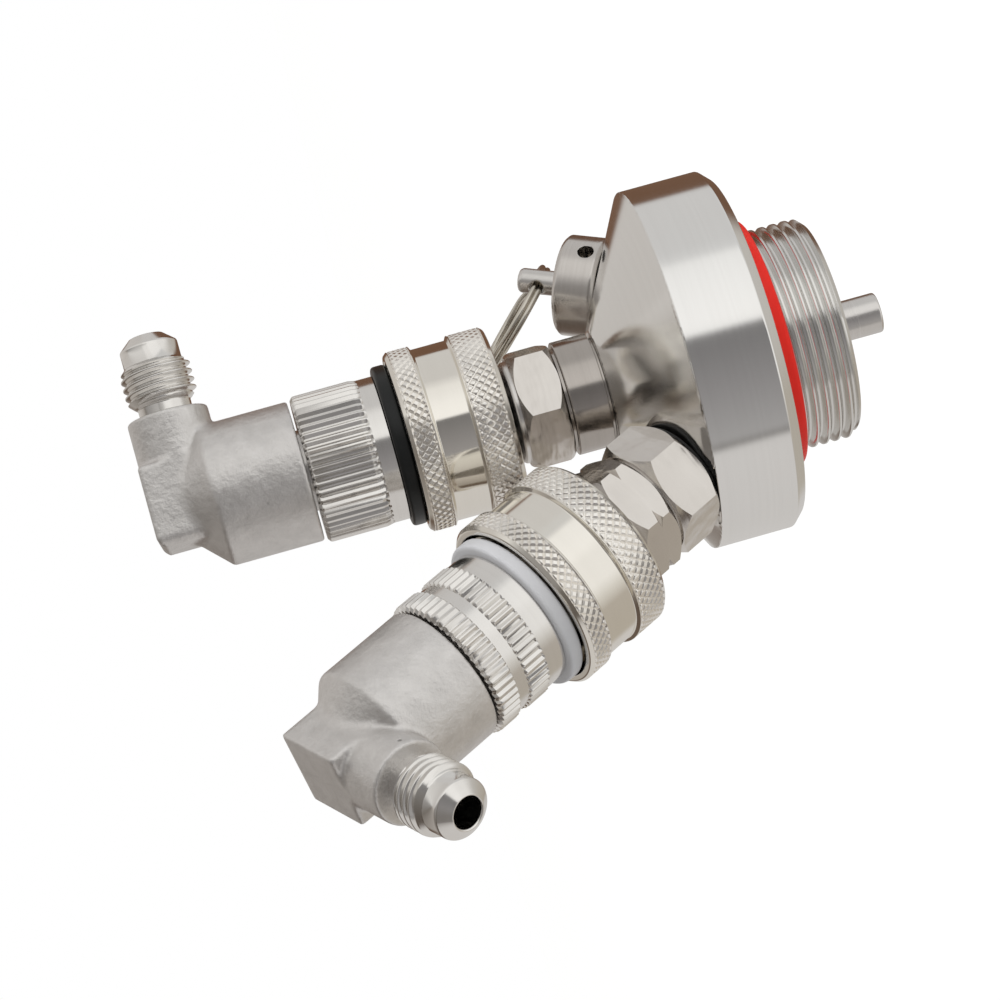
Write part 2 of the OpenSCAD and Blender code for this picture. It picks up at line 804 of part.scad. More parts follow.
module gas_colour_ring() {
    color("#aeb2b8") at_gas_post() colour_ring();
}

module gas_cap_nut() {
    color("#cac5bc") at_gas_post() gas_nut();
}

module gas_valve_pin() {
    at_gas_post() valve_pin();
}

module gas_valve_spring() {
    at_gas_post() valve_spring();
}

module gas_elbow() {
    color("#b3ada6") at_gas_post() translate([0, 0, elbow_face]) rotate([0, 0, gas_elbow_turn]) elbow();
}

module gas_elbow_oring() {
    at_gas_post() elbow_oring();
}

module gas_elbow_clip() {
    at_gas_post() elbow_clip();
}

// Relief valve

module relief_housing() {
    r = relief_d / 2;
    edge = 0.6;
    vent_at = relief_h * 0.36;
    color("#b4aea6") at_relief_seat() difference() {
        rotate_extrude() polygon([
            [0, -port_thread_len + 0.3], [port_thread_d / 2, -port_thread_len + 0.3], [port_thread_d / 2, 0],
            [r - edge, 0], [r, edge], [r, relief_top - edge], [r - edge, relief_top], [0, relief_top]
        ]);
        translate([0, 0, relief_floor])
            cylinder(r = relief_bore_r, h = relief_top - relief_roof - relief_floor);
        cylinder(r = stem_r + run_gap, h = relief_top + 1);
        translate([0, 0, -port_thread_len]) cylinder(r = pin_r, h = port_thread_len);
        translate([0, 0, vent_at]) for (side = [-1, 1]) rotate([90, 0, 0])
            translate([0, 0, side > 0 ? 0 : -relief_d]) cylinder(d = vent_d, h = relief_d);
    }
}

module relief_stem() {
    low = relief_floor + relief_seal_t + rest_gap;
    color("#bcb6ad") at_relief_seat() difference() {
        rotate_extrude() polygon([
            [0, low], [relief_bore_r - 0.3, low], [relief_bore_r - 0.3, low + relief_disc_t],
            [stem_r, low + relief_disc_t], [stem_r, stem_tip - 0.5], [stem_r - 0.5, stem_tip], [0, stem_tip]
        ]);
        translate([0, 0, cross_hole_at]) rotate([90, 0, cross_hole_turn])
            cylinder(d = cross_hole_d, h = 3 * stem_d, center = true);
    }
}

module relief_seal() {
    low = relief_floor + rest_gap;
    color("#1a1a1a") at_relief_seat() tube(relief_bore_r - 0.5, 0.4, low, low + relief_seal_t);
}

module relief_spring() {
    low = relief_floor + relief_seal_t + relief_disc_t + 2 * rest_gap;
    length = relief_top - relief_roof - rest_gap - low;
    turns = floor((length - relief_travel) / relief_wire / 1.5);
    color("#9d9d9d") at_relief_seat() translate([0, 0, low])
        coil_spring(stem_r + 1.15, relief_wire, length, turns);
}

// The split key ring that hangs in the stem's cross hole, two turns of round wire
module pull_ring() {
    mean_r = (pull_ring_d - pull_wire_d) / 2;
    color("#b0a48f") at_relief_seat() translate([0, 0, cross_hole_at]) rotate([0, 0, cross_hole_turn])
        rotate([0, pull_ring_lean, 0]) translate([0, 0, mean_r]) rotate([0, 90, 0])
            rotate_extrude() translate([mean_r, 0]) union() {
                translate([0, 0.44 * pull_wire_d]) circle(d = pull_wire_d, $fn = 16);
                translate([0, -0.44 * pull_wire_d]) circle(d = pull_wire_d, $fn = 16);
            }
}

cap_body();
neck_seal();
dip_tube_stub();
liquid_adapter();
liquid_post();
liquid_post_oring();
liquid_poppet();
liquid_poppet_spring();
gas_port_seal();
gas_adapter();
gas_post();
gas_post_oring();
gas_poppet();
gas_poppet_spring();
liquid_socket();
liquid_lock_balls();
liquid_collar();
liquid_collar_spring();
liquid_colour_ring();
liquid_cap_nut();
liquid_valve_pin();
liquid_valve_spring();
liquid_elbow();
liquid_elbow_oring();
liquid_elbow_clip();
gas_socket();
gas_lock_balls();
gas_collar();
gas_collar_spring();
gas_colour_ring();
gas_cap_nut();
gas_valve_pin();
gas_valve_spring();
gas_elbow();
gas_elbow_oring();
gas_elbow_clip();
relief_housing();
relief_stem();
relief_seal();
relief_spring();
pull_ring();
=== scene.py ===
# Keg coupler: the finishes, and the threads, knurls and cast forms that the solid frame leaves plain.
# Lengths in the dictionaries are millimetres and angles are degrees; meshes are written in metres.
import json

import bmesh
import bpy
import numpy as np
from mathutils import Matrix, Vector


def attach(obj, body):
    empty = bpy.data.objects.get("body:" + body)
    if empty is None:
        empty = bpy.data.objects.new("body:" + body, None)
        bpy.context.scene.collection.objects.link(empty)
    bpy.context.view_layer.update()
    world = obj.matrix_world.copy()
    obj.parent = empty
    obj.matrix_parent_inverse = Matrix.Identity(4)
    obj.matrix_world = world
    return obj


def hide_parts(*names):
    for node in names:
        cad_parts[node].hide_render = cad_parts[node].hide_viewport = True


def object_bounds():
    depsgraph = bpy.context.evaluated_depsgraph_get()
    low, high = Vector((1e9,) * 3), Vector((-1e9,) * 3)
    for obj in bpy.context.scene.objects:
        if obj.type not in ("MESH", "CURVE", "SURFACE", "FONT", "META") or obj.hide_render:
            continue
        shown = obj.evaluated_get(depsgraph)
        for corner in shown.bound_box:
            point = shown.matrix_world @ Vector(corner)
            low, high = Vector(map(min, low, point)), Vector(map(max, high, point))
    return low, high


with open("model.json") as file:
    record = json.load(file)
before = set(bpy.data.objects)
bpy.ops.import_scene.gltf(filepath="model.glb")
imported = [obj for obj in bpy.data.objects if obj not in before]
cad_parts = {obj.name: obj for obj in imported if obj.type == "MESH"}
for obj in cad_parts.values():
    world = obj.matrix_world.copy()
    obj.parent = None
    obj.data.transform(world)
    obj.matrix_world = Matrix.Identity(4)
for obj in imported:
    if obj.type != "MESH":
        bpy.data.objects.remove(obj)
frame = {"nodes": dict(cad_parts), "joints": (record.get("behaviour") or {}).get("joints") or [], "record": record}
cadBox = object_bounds()
joints = {joint["name"]: joint for joint in frame["joints"]}
print("frame loaded:", len(frame["nodes"]), "nodes")


# Places: each is a 4 x 4 matrix in millimetres whose z column is the axis of what is turned there

# Local z is the axis, and local x is square to it and to the frame's own y.
def placeOn(origin, axis):
    z = np.array(axis, float) / np.linalg.norm(axis)
    x = np.cross([0.0, 1.0, 0.0], z)
    x /= np.linalg.norm(x)
    place = np.eye(4)
    place[:3, :3] = np.stack([x, np.cross(z, x), z], 1)
    place[:3, 3] = origin
    return place


# The same place, moved along its own z.
def along(place, distance):
    moved = place.copy()
    moved[:3, 3] += distance * place[:3, 2]
    return moved


station = {  # heights along each port's axis and the turns of the elbows, as in the solids
    "hexHeight": 7.0, "seam": 0.55, "adapterRing": 6.15, "portSeal": 1.5, "elbowFace": 33.91,
    "flareAxis": 18.2, "liquidTurn": 145.3, "gasTurn": 18.1, "crossHole": 11.0,
}
capPlace = np.eye(4)
liquidPlace = placeOn(np.array(joints["liquid_disconnect_swivel"]["pos_m"]) * 1000,
                      joints["liquid_disconnect_swivel"]["axis"])
gasPlace = placeOn(np.array(joints["gas_disconnect_swivel"]["pos_m"]) * 1000,
                   joints["gas_disconnect_swivel"]["axis"])
reliefPlace = along(placeOn(np.array(joints["pull_ring_swing"]["pos_m"]) * 1000,
                            joints["relief_pull"]["axis"]), -station["crossHole"])


# Surfaces: each function returns points (millimetres) and faces, worked out as whole arrays

# Quads of a grid of points stored row by row; either direction may close on itself.
def sheetFaces(rows, columns, closeRows=False, closeColumns=False):
    i = np.arange(rows if closeRows else rows - 1)[:, None]
    j = np.arange(columns if closeColumns else columns - 1)[None, :]
    nextI, nextJ = (i + 1) % rows, (j + 1) % columns
    quads = np.stack(np.broadcast_arrays(i * columns + j, nextI * columns + j,
                                         nextI * columns + nextJ, i * columns + nextJ), -1)
    return quads.reshape(-1, 4)


# Carries (radius, height) round z: x = r cos a, y = r sin a.
def revolve(outline, steps=160, closed=True):
    outline = np.asarray(outline, float)
    a = np.arange(steps) * 2 * np.pi / steps
    r, h = outline.T
    points = np.stack([np.outer(np.cos(a), r), np.outer(np.sin(a), r), np.tile(h, (steps, 1))], -1)
    return points.reshape(-1, 3), sheetFaces(steps, len(outline), True, closed)


# Replaces each corner P between A and B by the curve (1-s)^2 P0 + 2s(1-s) P + s^2 P2.
def soften(outline, radius, arc=4, closed=True):
    p = np.asarray(outline, float)
    before, after = np.roll(p, 1, 0), np.roll(p, -1, 0)
    toA, toB = before - p, after - p
    lengthA = np.linalg.norm(toA, axis=1, keepdims=True)
    lengthB = np.linalg.norm(toB, axis=1, keepdims=True)
    cut = np.minimum(np.broadcast_to(radius, (len(p),))[:, None], 0.45 * np.minimum(lengthA, lengthB))
    cut = np.where(p[:, :1] < 1e-6, 0, cut)
    if not closed:
        cut[[0, -1]] = 0
    s = np.linspace(0, 1, arc + 1)[None, :, None]
    wayA, wayB = toA / np.maximum(lengthA, 1e-9) * cut, toB / np.maximum(lengthB, 1e-9) * cut
    start, end = (p + wayA)[:, None], (p + wayB)[:, None]
    bend = (1 - s) ** 2 * start + 2 * s * (1 - s) * p[:, None] + s ** 2 * end
    return np.concatenate([(p + 1.1 * wayA)[:, None], bend, (p + 1.1 * wayB)[:, None]], 1).reshape(-1, 2)


# A screw thread: the row at height h0 climbs by one pitch in a turn, h = h0 + pitch a / 2 pi, and its
# radius is root + (crest - root) clip(0.5 + full / 2 cos 2 pi s), with s the share of a pitch; it is held
# under 45 degree chamfers at both ends.
def helixWall(low, high, crest, root, pitch, endRadius, steps=160, fine=12, full=1.4):
    inTurn = np.arange(fine) / fine
    turns = np.arange(-1, np.ceil((high - low) / pitch) + 1)
    h0 = (low + pitch * (turns[:, None] + inTurn[None])).ravel()
    wave = np.clip(0.5 + 0.5 * full * np.cos(2 * np.pi * inTurn), 0, 1)
    r0 = np.tile(root + (crest - root) * wave, len(turns))
    a = np.linspace(0, 2 * np.pi, steps + 1)[:, None]
    h = h0[None] + pitch * a / (2 * np.pi)
    r = np.minimum(r0[None], endRadius + np.minimum(h - low, high - h))
    r = np.maximum(r, endRadius)
    h = np.clip(h, low, high)
    points = np.stack([r * np.cos(a), r * np.sin(a), h], -1)
    return points.reshape(-1, 3), sheetFaces(steps + 1, len(h0))


# Crossed knurling: with u the share of a diamond round the rim and v along it, the height is
# min(tri(u + v), tri(u - v)) cut off at the flat, and it fades out within the edge.
def knurlWall(radius, low, high, count, depth, edge=0.35, flat=0.44, finer=8):
    tall = 2 * np.pi * radius / count
    rows = int(np.ceil((high - low) / (tall / finer))) + 1
    u = np.arange(count * finer)[:, None] / finer
    h = np.linspace(low, high, rows)[None]
    v = (h - low) / tall

    def tri(x):
        return 1 - np.abs(2 * (x % 1) - 1)

    rise = np.minimum(np.minimum(tri(u + v), tri(u - v)), flat) / flat
    fade = np.clip(np.minimum(h - low, high - h) / edge, 0, 1)
    r = radius - depth * (1 - rise * fade) * np.clip(fade * 3, 0, 1)
    a = u / count * 2 * np.pi
    points = np.stack(np.broadcast_arrays(r * np.cos(a), r * np.sin(a), h), -1).reshape(-1, 3)
    quads = sheetFaces(count * finer, rows, True)
    i, j = np.divmod(quads[:, 0], rows)
    um, vm = (i + 0.5) / finer, (h[0][j] + (high - low) / (rows - 1) / 2 - low) / tall
    swap = tri(um + vm) < tri(um - vm)
    quads = np.where(swap[:, None], np.roll(quads, 1, 1), quads)
    return points, np.concatenate([quads[:, [0, 1, 2]], quads[:, [0, 2, 3]]])


fluteShape = np.array([[0.0, 0.15, 0.30, 0.45, 0.65, 0.85], [0.0, 0.0, 0.45, 1.0, 1.0, 0.45]])


# A turned wall (radius, height) with straight flutes: within each band the radius drops by depth between
# the ribs, and every flute runs out over its own length.
def flutedWall(profile, count, depth, bands, seed=1, runOut=0.7):
    profile = np.asarray(profile, float)
    inFlute, drop = fluteShape
    a = ((np.arange(count)[:, None] + inFlute[None]) / count * 2 * np.pi).ravel()[:, None]
    drop = np.tile(drop, count)[:, None]
    r, h = profile.T
    ends = np.repeat(np.random.default_rng(seed).uniform(0.3, 1.0, (count, 2)), len(inFlute), 0) * runOut
    mask = np.zeros((len(a), len(h)))
    for low, high, softLow, softHigh in bands:
        rise = np.clip((h[None] - low) / (ends[:, :1] if softLow else 0.12), 0, 1)
        fall = np.clip((high - h[None]) / (ends[:, 1:] if softHigh else 0.12), 0, 1)
        mask = np.maximum(mask, rise * fall)
    r = r[None] - depth * drop * mask
    points = np.stack(np.broadcast_arrays(r * np.cos(a), r * np.sin(a), h[None]), -1)
    return points.reshape(-1, 3), sheetFaces(len(a), len(h), True)


# A hexagon turned off at its corners: the radius is half the flats over cos(a), and the bevel reaches
# down by a share that grows with the corner. A notch is a groove turned into the corners.
def hexWall(flats, low, high, turn, bore, bevel=0.9, notch=None, perSide=12):
    half = flats / 2
    a = np.arange(6 * perSide) / (6 * perSide) * 2 * np.pi
    reach = half / np.cos((a % (np.pi / 3)) - np.pi / 6)
    inner = half - 0.1
    cut = (reach - inner) * bevel
    rows = [(np.full_like(a, bore), np.full_like(a, low)), (np.full_like(a, inner), np.full_like(a, low)),
            (reach, low + cut)]
    if notch:
        width = np.clip(reach - notch["radius"], 0, None) * notch["slope"]
        inGroove = (np.minimum(reach, notch["radius"]), np.full_like(a, notch["at"]))
        rows += [(reach, notch["at"] - width), inGroove, (reach, notch["at"] + width)]
    rows += [(reach, high - cut), (np.full_like(a, inner), np.full_like(a, high)),
             (np.full_like(a, bore), np.full_like(a, high))]
    r = np.stack([row[0] for row in rows], 1)
    h = np.stack([row[1] for row in rows], 1)
    t = (a + np.radians(turn))[:, None]
    points = np.stack([r * np.cos(t), r * np.sin(t), h], -1)
    return points.reshape(-1, 3), sheetFaces(len(a), len(rows), True, True)


# Carries a circle along a path, square to its direction, and closes both ends flat.
def roundWire(path, radius, sides=14):
    path = np.asarray(path, float)
    tangent = np.gradient(path, axis=0)
    tangent /= np.linalg.norm(tangent, axis=1, keepdims=True)
    side = np.cross(tangent, [0, 0, 1.0])
    side /= np.linalg.norm(side, axis=1, keepdims=True)
    up = np.cross(side, tangent)
    b = np.arange(sides) * 2 * np.pi / sides
    ring = np.cos(b)[None, :, None] * side[:, None] + np.sin(b)[None, :, None] * up[:, None]
    points = (path[:, None] + radius * ring).reshape(-1, 3)
    points = np.concatenate([points, path[:1], path[-1:]])
    faces = sheetFaces(len(path), sides, False, True)
    j = np.arange(sides)
    rim = np.stack([j, (j + 1) % sides], 1)
    last = (len(path) - 1) * sides
    startCap = np.concatenate([rim, np.full((sides, 2), len(points) - 2)], 1)
    endCap = np.concatenate([last + rim, np.full((sides, 2), len(points) - 1)], 1)
    return points, np.concatenate([faces, startCap, endCap])


# The zero level of a distance field: one point in every cell that it crosses, moved onto the level along
# the field's slope, and a quad round every crossed edge.
def levelSurface(field, low, high, step, rounds=7):
    counts = [int(np.ceil((b - a) / step)) + 1 for a, b in zip(low, high)]
    axes = [a + step * np.arange(n) for a, n in zip(low, counts)]
    value = field(np.stack(np.meshgrid(*axes, indexing="ij"), -1).reshape(-1, 3)).reshape(counts)
    inside = value < 0
    corners = sum(inside[x:counts[0] - 1 + x, y:counts[1] - 1 + y, z:counts[2] - 1 + z].astype(int)
                  for x in (0, 1) for y in (0, 1) for z in (0, 1))
    mixed = (corners > 0) & (corners < 8)
    cell = np.full(mixed.shape, -1)
    cell[mixed] = np.arange(mixed.sum())
    points = (np.argwhere(mixed) + 0.5) * step + np.array(low)
    for _ in range(rounds):
        e = step * 0.05
        slope = np.stack([field(points + e * d) - field(points - e * d) for d in np.eye(3)], 1) / (2 * e)
        move = field(points)[:, None] * slope / np.maximum((slope ** 2).sum(1, keepdims=True), 0.2)
        points = points - np.clip(move, -step, step)
    quads = []
    for axis in range(3):
        sign, ids = np.moveaxis(inside, axis, 0), np.moveaxis(cell, axis, 0)
        i, j, k = np.nonzero(sign[:-1, 1:-1, 1:-1] != sign[1:, 1:-1, 1:-1])
        quads.append(np.stack([ids[i, j, k], ids[i, j + 1, k], ids[i, j + 1, k + 1], ids[i, j, k + 1]], 1))
    return points, np.concatenate(quads)


# The union of two fields with a fillet about k wide.
def joinSoft(a, b, k):
    h = np.clip(0.5 + 0.5 * (b - a) / k, 0, 1)
    return b + (a - b) * h - k * h * (1 - h)


# The common part of two fields with a rounded edge.
def cutSoft(a, b, k):
    return -joinSoft(-a, -b, k)


# Joins the parts, each (points, faces, place, material), into one mesh on that body. The turning
# attribute holds the height and radius about each part's own axis, for lines left by the tool.
def makePiece(name, parts, body, node, sharp=32):
    points, faces, marks, kinds, finishes, base = [], [], [], [], [], 0
    for local, quads, place, finish in parts:
        points.append(local @ place[:3, :3].T + place[:3, 3])
        faces += (quads + base).tolist()
        marks.append(np.stack([local[:, 2], np.hypot(local[:, 0], local[:, 1]), np.zeros(len(local))], 1))
        if finish not in finishes:
            finishes.append(finish)
        kinds += [finishes.index(finish)] * len(quads)
        base += len(local)
    faces = [list(dict.fromkeys(face)) for face in faces]
    kinds = [kind for face, kind in zip(faces, kinds) if len(face) > 2]
    faces = [face for face in faces if len(face) > 2]
    mesh = bpy.data.meshes.new(name)
    mesh.from_pydata((np.concatenate(points) * 0.001).tolist(), [], faces)
    mesh.polygons.foreach_set("material_index", kinds)
    turning = mesh.attributes.new("turning", "FLOAT_VECTOR", "POINT")
    turning.data.foreach_set("vector", np.concatenate(marks).astype(np.float32).ravel())
    shell = bmesh.new()
    shell.from_mesh(mesh)
    bmesh.ops.remove_doubles(shell, verts=shell.verts, dist=2e-6)
    bmesh.ops.dissolve_degenerate(shell, edges=shell.edges, dist=1e-7)
    bmesh.ops.recalc_face_normals(shell, faces=shell.faces)
    shell.to_mesh(mesh)
    shell.free()
    for finish in finishes:
        mesh.materials.append(finish)
    mesh.shade_smooth()
    mesh.set_sharp_from_angle(angle=np.radians(sharp))
    piece = bpy.data.objects.new(name, mesh)
    bpy.context.scene.collection.objects.link(piece)
    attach(piece, body)
    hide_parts(node)


# Finishes

# A socket in a node tree; arithmetic on it adds Math nodes.
class Wire:
    def __init__(self, graph, socket):
        self.graph, self.socket = graph, socket

    def math(self, operation, *values):
        return self.graph.node("ShaderNodeMath", {"operation": operation}, dict(enumerate(values)))

    def __add__(self, other):
        return self.math("ADD", self, other)

    def __sub__(self, other):
        return self.math("SUBTRACT", self, other)

    def __rsub__(self, other):
        return self.math("SUBTRACT", other, self)

    def __mul__(self, other):
        return self.math("MULTIPLY", self, other)

    __radd__ = __add__
    __rmul__ = __mul__


# A material's node tree. node() takes a type, its settings and the values of its sockets.
class Graph:
    def __init__(self, name):
        self.material = bpy.data.materials.new(name)
        self.material.use_nodes = True
        self.tree = self.material.node_tree
        self.tree.nodes.clear()

    def node(self, kind, settings=None, sockets=None, output=0):
        node = self.tree.nodes.new(kind)
        for key, value in (settings or {}).items():
            if key == "stops":
                ramp = node.color_ramp
                while len(ramp.elements) < len(value):
                    ramp.elements.new(0.5)
                for element, (position, colour) in zip(ramp.elements, value):
                    element.position, element.color = position, (*colour, 1)
            else:
                setattr(node, key, value)
        for key, value in (sockets or {}).items():
            if isinstance(value, Wire):
                self.tree.links.new(value.socket, node.inputs[key])
            elif isinstance(value, tuple) and len(value) == 3 and node.inputs[key].type == "RGBA":
                node.inputs[key].default_value = (*value, 1)
            else:
                node.inputs[key].default_value = value
        return Wire(self, node.outputs[output]) if len(node.outputs) else None

    def noise(self, vector, scale, detail=3.0, roughness=0.5):
        return self.node("ShaderNodeTexNoise", {}, {"Vector": vector, "Scale": scale, "Detail": detail,
                                                    "Roughness": roughness}, "Fac")

    def stretch(self, vector, scale):
        return self.node("ShaderNodeMapping", {}, {"Vector": vector, "Scale": scale})

    def mixColour(self, factor, a, b):
        return self.node("ShaderNodeMix", {"data_type": "RGBA"}, {"Factor": factor, 6: a, 7: b}, 2)

    def finish(self, shader):
        self.node("ShaderNodeOutputMaterial", {}, {"Surface": shader})
        return self.material

    def shader(self, **sockets):
        named = {key.replace("_", " "): value for key, value in sockets.items()}
        return self.node("ShaderNodeBsdfPrincipled", {}, named)


# Turned or polished metal: fine lines that follow the tool, and a little uneven tone.
def metal(name, look):
    g = Graph(name)
    place = g.node("ShaderNodeTexCoord", {}, {}, "Object")
    lines = g.node("ShaderNodeAttribute", {"attribute_name": "turning"}, {}, "Vector")
    fine = g.noise(g.stretch(lines, (look["lines"], look["lines"], 0.0)), 1.0, 2.0)
    broad = g.noise(g.stretch(lines, (look["lines"] * 0.13, look["lines"] * 0.13, 0.0)), 1.0, 2.0)
    cloud = g.noise(place, look["cloud"], 3.0)
    tone = fine * 0.35 + broad * 0.35 + cloud * 0.3
    colour = g.mixColour(tone, look["dark"], look["pale"])
    rough = tone * look["roughSpread"] + (look["rough"] - 0.5 * look["roughSpread"])
    height = fine * 0.6 + broad * 0.25 + g.noise(place, look["grain"], 2.0) * look["grainShare"]
    bump = g.node("ShaderNodeBump", {}, {"Strength": look["bump"], "Distance": look.get("depth", 0.00002),
                                         "Height": height})
    return g.finish(g.shader(Base_Color=colour, Metallic=1.0, Roughness=rough, Normal=bump))


# Bead-blasted cast steel: an even grain, sparse pits and faint stains.
def casting(name, look):
    g = Graph(name)
    place = g.node("ShaderNodeTexCoord", {}, {}, "Object")
    grain = g.noise(place, look["grain"], 4.0, 0.6)
    swell = g.noise(place, look["swell"], 2.0)
    pits = g.node("ShaderNodeTexVoronoi", {"feature": "F1"}, {"Vector": place, "Scale": look["pits"]},
                  "Distance")
    pit = g.node("ShaderNodeMapRange", {"interpolation_type": "SMOOTHSTEP"},
                 {"Value": pits, "From Min": 0.02, "From Max": 0.07})
    tone = swell * 0.6 + grain * 0.4
    colour = g.mixColour(pit, look["pit"], g.mixColour(tone, look["dark"], look["pale"]))
    height = grain * 0.5 + swell * 0.8 + pit * 0.5
    bump = g.node("ShaderNodeBump", {}, {"Strength": look["bump"], "Distance": 0.00022, "Height": height})
    rough = grain * 0.16 + (look["rough"] - 0.08)
    return g.finish(g.shader(Base_Color=colour, Metallic=look["metallic"], Roughness=rough, Normal=bump))


# Rubber or plastic: one colour with a faint mottle and a soft moulding grain.
def moulded(name, look):
    g = Graph(name)
    place = g.node("ShaderNodeTexCoord", {}, {}, "Object")
    mottle = g.noise(place, 260.0, 3.0)
    grain = g.noise(place, 2600.0, 2.0)
    colour = g.mixColour(mottle, look["dark"], look["pale"])
    bump = g.node("ShaderNodeBump", {}, {"Strength": look["bump"], "Distance": 0.00003, "Height": grain})
    rough = mottle * 0.14 + (look["rough"] - 0.07)
    return g.finish(g.shader(Base_Color=colour, Roughness=rough, Specular_IOR_Level=0.3, Normal=bump))


polishedSteel = metal("polishedSteel", {
    "dark": (0.78, 0.77, 0.755), "pale": (0.88, 0.875, 0.86), "rough": 0.13, "roughSpread": 0.06,
    "lines": 9.0, "cloud": 60.0, "grain": 2200.0, "grainShare": 0.05, "bump": 0.2})
turnedSteel = metal("turnedSteel", {
    "dark": (0.60, 0.58, 0.56), "pale": (0.80, 0.78, 0.76), "rough": 0.26, "roughSpread": 0.12,
    "lines": 12.0, "cloud": 80.0, "grain": 1800.0, "grainShare": 0.15, "bump": 0.18})
hexSteel = metal("hexSteel", {
    "dark": (0.58, 0.545, 0.51), "pale": (0.82, 0.79, 0.755), "rough": 0.18, "roughSpread": 0.12,
    "lines": 0.5, "cloud": 170.0, "grain": 150.0, "grainShare": 2.0, "bump": 0.5, "depth": 0.0004})
satinSteel = metal("satinSteel", {
    "dark": (0.55, 0.52, 0.495), "pale": (0.74, 0.71, 0.68), "rough": 0.22, "roughSpread": 0.1,
    "lines": 14.0, "cloud": 90.0, "grain": 1800.0, "grainShare": 0.2, "bump": 0.22})
nutSteel = metal("nutSteel", {
    "dark": (0.72, 0.70, 0.675), "pale": (0.86, 0.845, 0.82), "rough": 0.16, "roughSpread": 0.08,
    "lines": 12.0, "cloud": 90.0, "grain": 1500.0, "grainShare": 0.2, "bump": 0.15})
nickel = metal("nickel", {
    "dark": (0.80, 0.77, 0.71), "pale": (0.90, 0.87, 0.81), "rough": 0.09, "roughSpread": 0.05,
    "lines": 5.0, "cloud": 90.0, "grain": 1200.0, "grainShare": 0.3, "bump": 0.05})
knurlNickel = metal("knurlNickel", {
    "dark": (0.86, 0.83, 0.785), "pale": (0.95, 0.925, 0.885), "rough": 0.26, "roughSpread": 0.1,
    "lines": 4.0, "cloud": 120.0, "grain": 1500.0, "grainShare": 0.3, "bump": 0.1})
wireSteel = metal("wireSteel", {
    "dark": (0.52, 0.49, 0.43), "pale": (0.70, 0.66, 0.59), "rough": 0.22, "roughSpread": 0.1,
    "lines": 8.0, "cloud": 160.0, "grain": 1500.0, "grainShare": 0.4, "bump": 0.12})
flareSteel = metal("flareSteel", {
    "dark": (0.72, 0.70, 0.675), "pale": (0.86, 0.845, 0.82), "rough": 0.15, "roughSpread": 0.08,
    "lines": 1.5, "cloud": 120.0, "grain": 900.0, "grainShare": 0.1, "bump": 0.02})
threadSteel = metal("threadSteel", {
    "dark": (0.66, 0.65, 0.63), "pale": (0.84, 0.83, 0.81), "rough": 0.21, "roughSpread": 0.1,
    "lines": 2.0, "cloud": 80.0, "grain": 900.0, "grainShare": 0.1, "bump": 0.02})
# painted shade: a darker copy of the steel, dark all over, which stands in for the shade that falls on the adapter
# ring's lower half
shadedAdapterSteel = metal("shadedAdapterSteel", {
    "dark": (0.36, 0.33, 0.305), "pale": (0.56, 0.525, 0.49), "rough": 0.17, "roughSpread": 0.08,
    "lines": 9.0, "cloud": 90.0, "grain": 1800.0, "grainShare": 0.2, "bump": 0.2})
castSteel = casting("castSteel", {
    "dark": (0.54, 0.525, 0.51), "pale": (0.86, 0.84, 0.825), "pit": (0.30, 0.29, 0.28), "rough": 0.42,
    "metallic": 0.92, "grain": 1500.0, "swell": 380.0, "pits": 150.0, "bump": 0.9})
redSilicone = moulded("redSilicone", {"dark": (0.84, 0.014, 0.006), "pale": (0.92, 0.024, 0.012),
                                      "rough": 0.42, "bump": 0.15})
blackRubber = moulded("blackRubber", {"dark": (0.008, 0.008, 0.008), "pale": (0.02, 0.02, 0.02),
                                      "rough": 0.45, "bump": 0.3})
blackPlastic = moulded("blackPlastic", {"dark": (0.004, 0.0045, 0.0045), "pale": (0.010, 0.011, 0.011),
                                        "rough": 0.36, "bump": 0.25})
greyPlastic = moulded("greyPlastic", {"dark": (0.56, 0.56, 0.575), "pale": (0.64, 0.64, 0.655),
                                      "rough": 0.4, "bump": 0.15})
print("finishes made")


# Cap, neck and seal

cap = {
    "neckR": 17.6, "neckChamfer": 0.9, "threadDepth": 1.05, "pitch": 1.81, "intoSeal": 1.2, "reliefR": 16.6,
    "flangeZ": 11.5, "sealT": 3.0, "flangeR": 28.6, "edge": 1.6, "coneZ": 25.3, "coneSink": 0.7,
    "coneTopR": 9.4, "landZ": 35.6, "boreR": 12.4, "boreTop": 18.6, "seatR": 9.83, "round": 0.18,
    "cell": 0.42,
}
gasSeat = along(gasPlace, -2 * station["hexHeight"] - station["seam"] - station["portSeal"])


# Distance field of the cone with a flat seat milled round each leaning port.
def coneForm(p):
    c = cap
    rho = np.hypot(p[:, 0], p[:, 1])
    fall = (c["landZ"] - c["coneZ"]) / (c["flangeR"] - c["coneTopR"])
    form = (p[:, 2] - c["coneZ"] - (c["flangeR"] - rho) * fall) / np.hypot(1, fall)
    form = np.maximum(form, np.maximum(c["coneZ"] - c["coneSink"] - p[:, 2], p[:, 2] - c["landZ"]))
    form = np.maximum(form, rho - c["flangeR"] + 0.015)  # a hair inside the rim
    for place in (gasSeat, reliefPlace):
        local = (p - place[:3, 3]) @ place[:3, :3]
        form = np.maximum(form, -np.maximum(np.hypot(local[:, 0], local[:, 1]) - c["seatR"], -local[:, 2]))
    return form


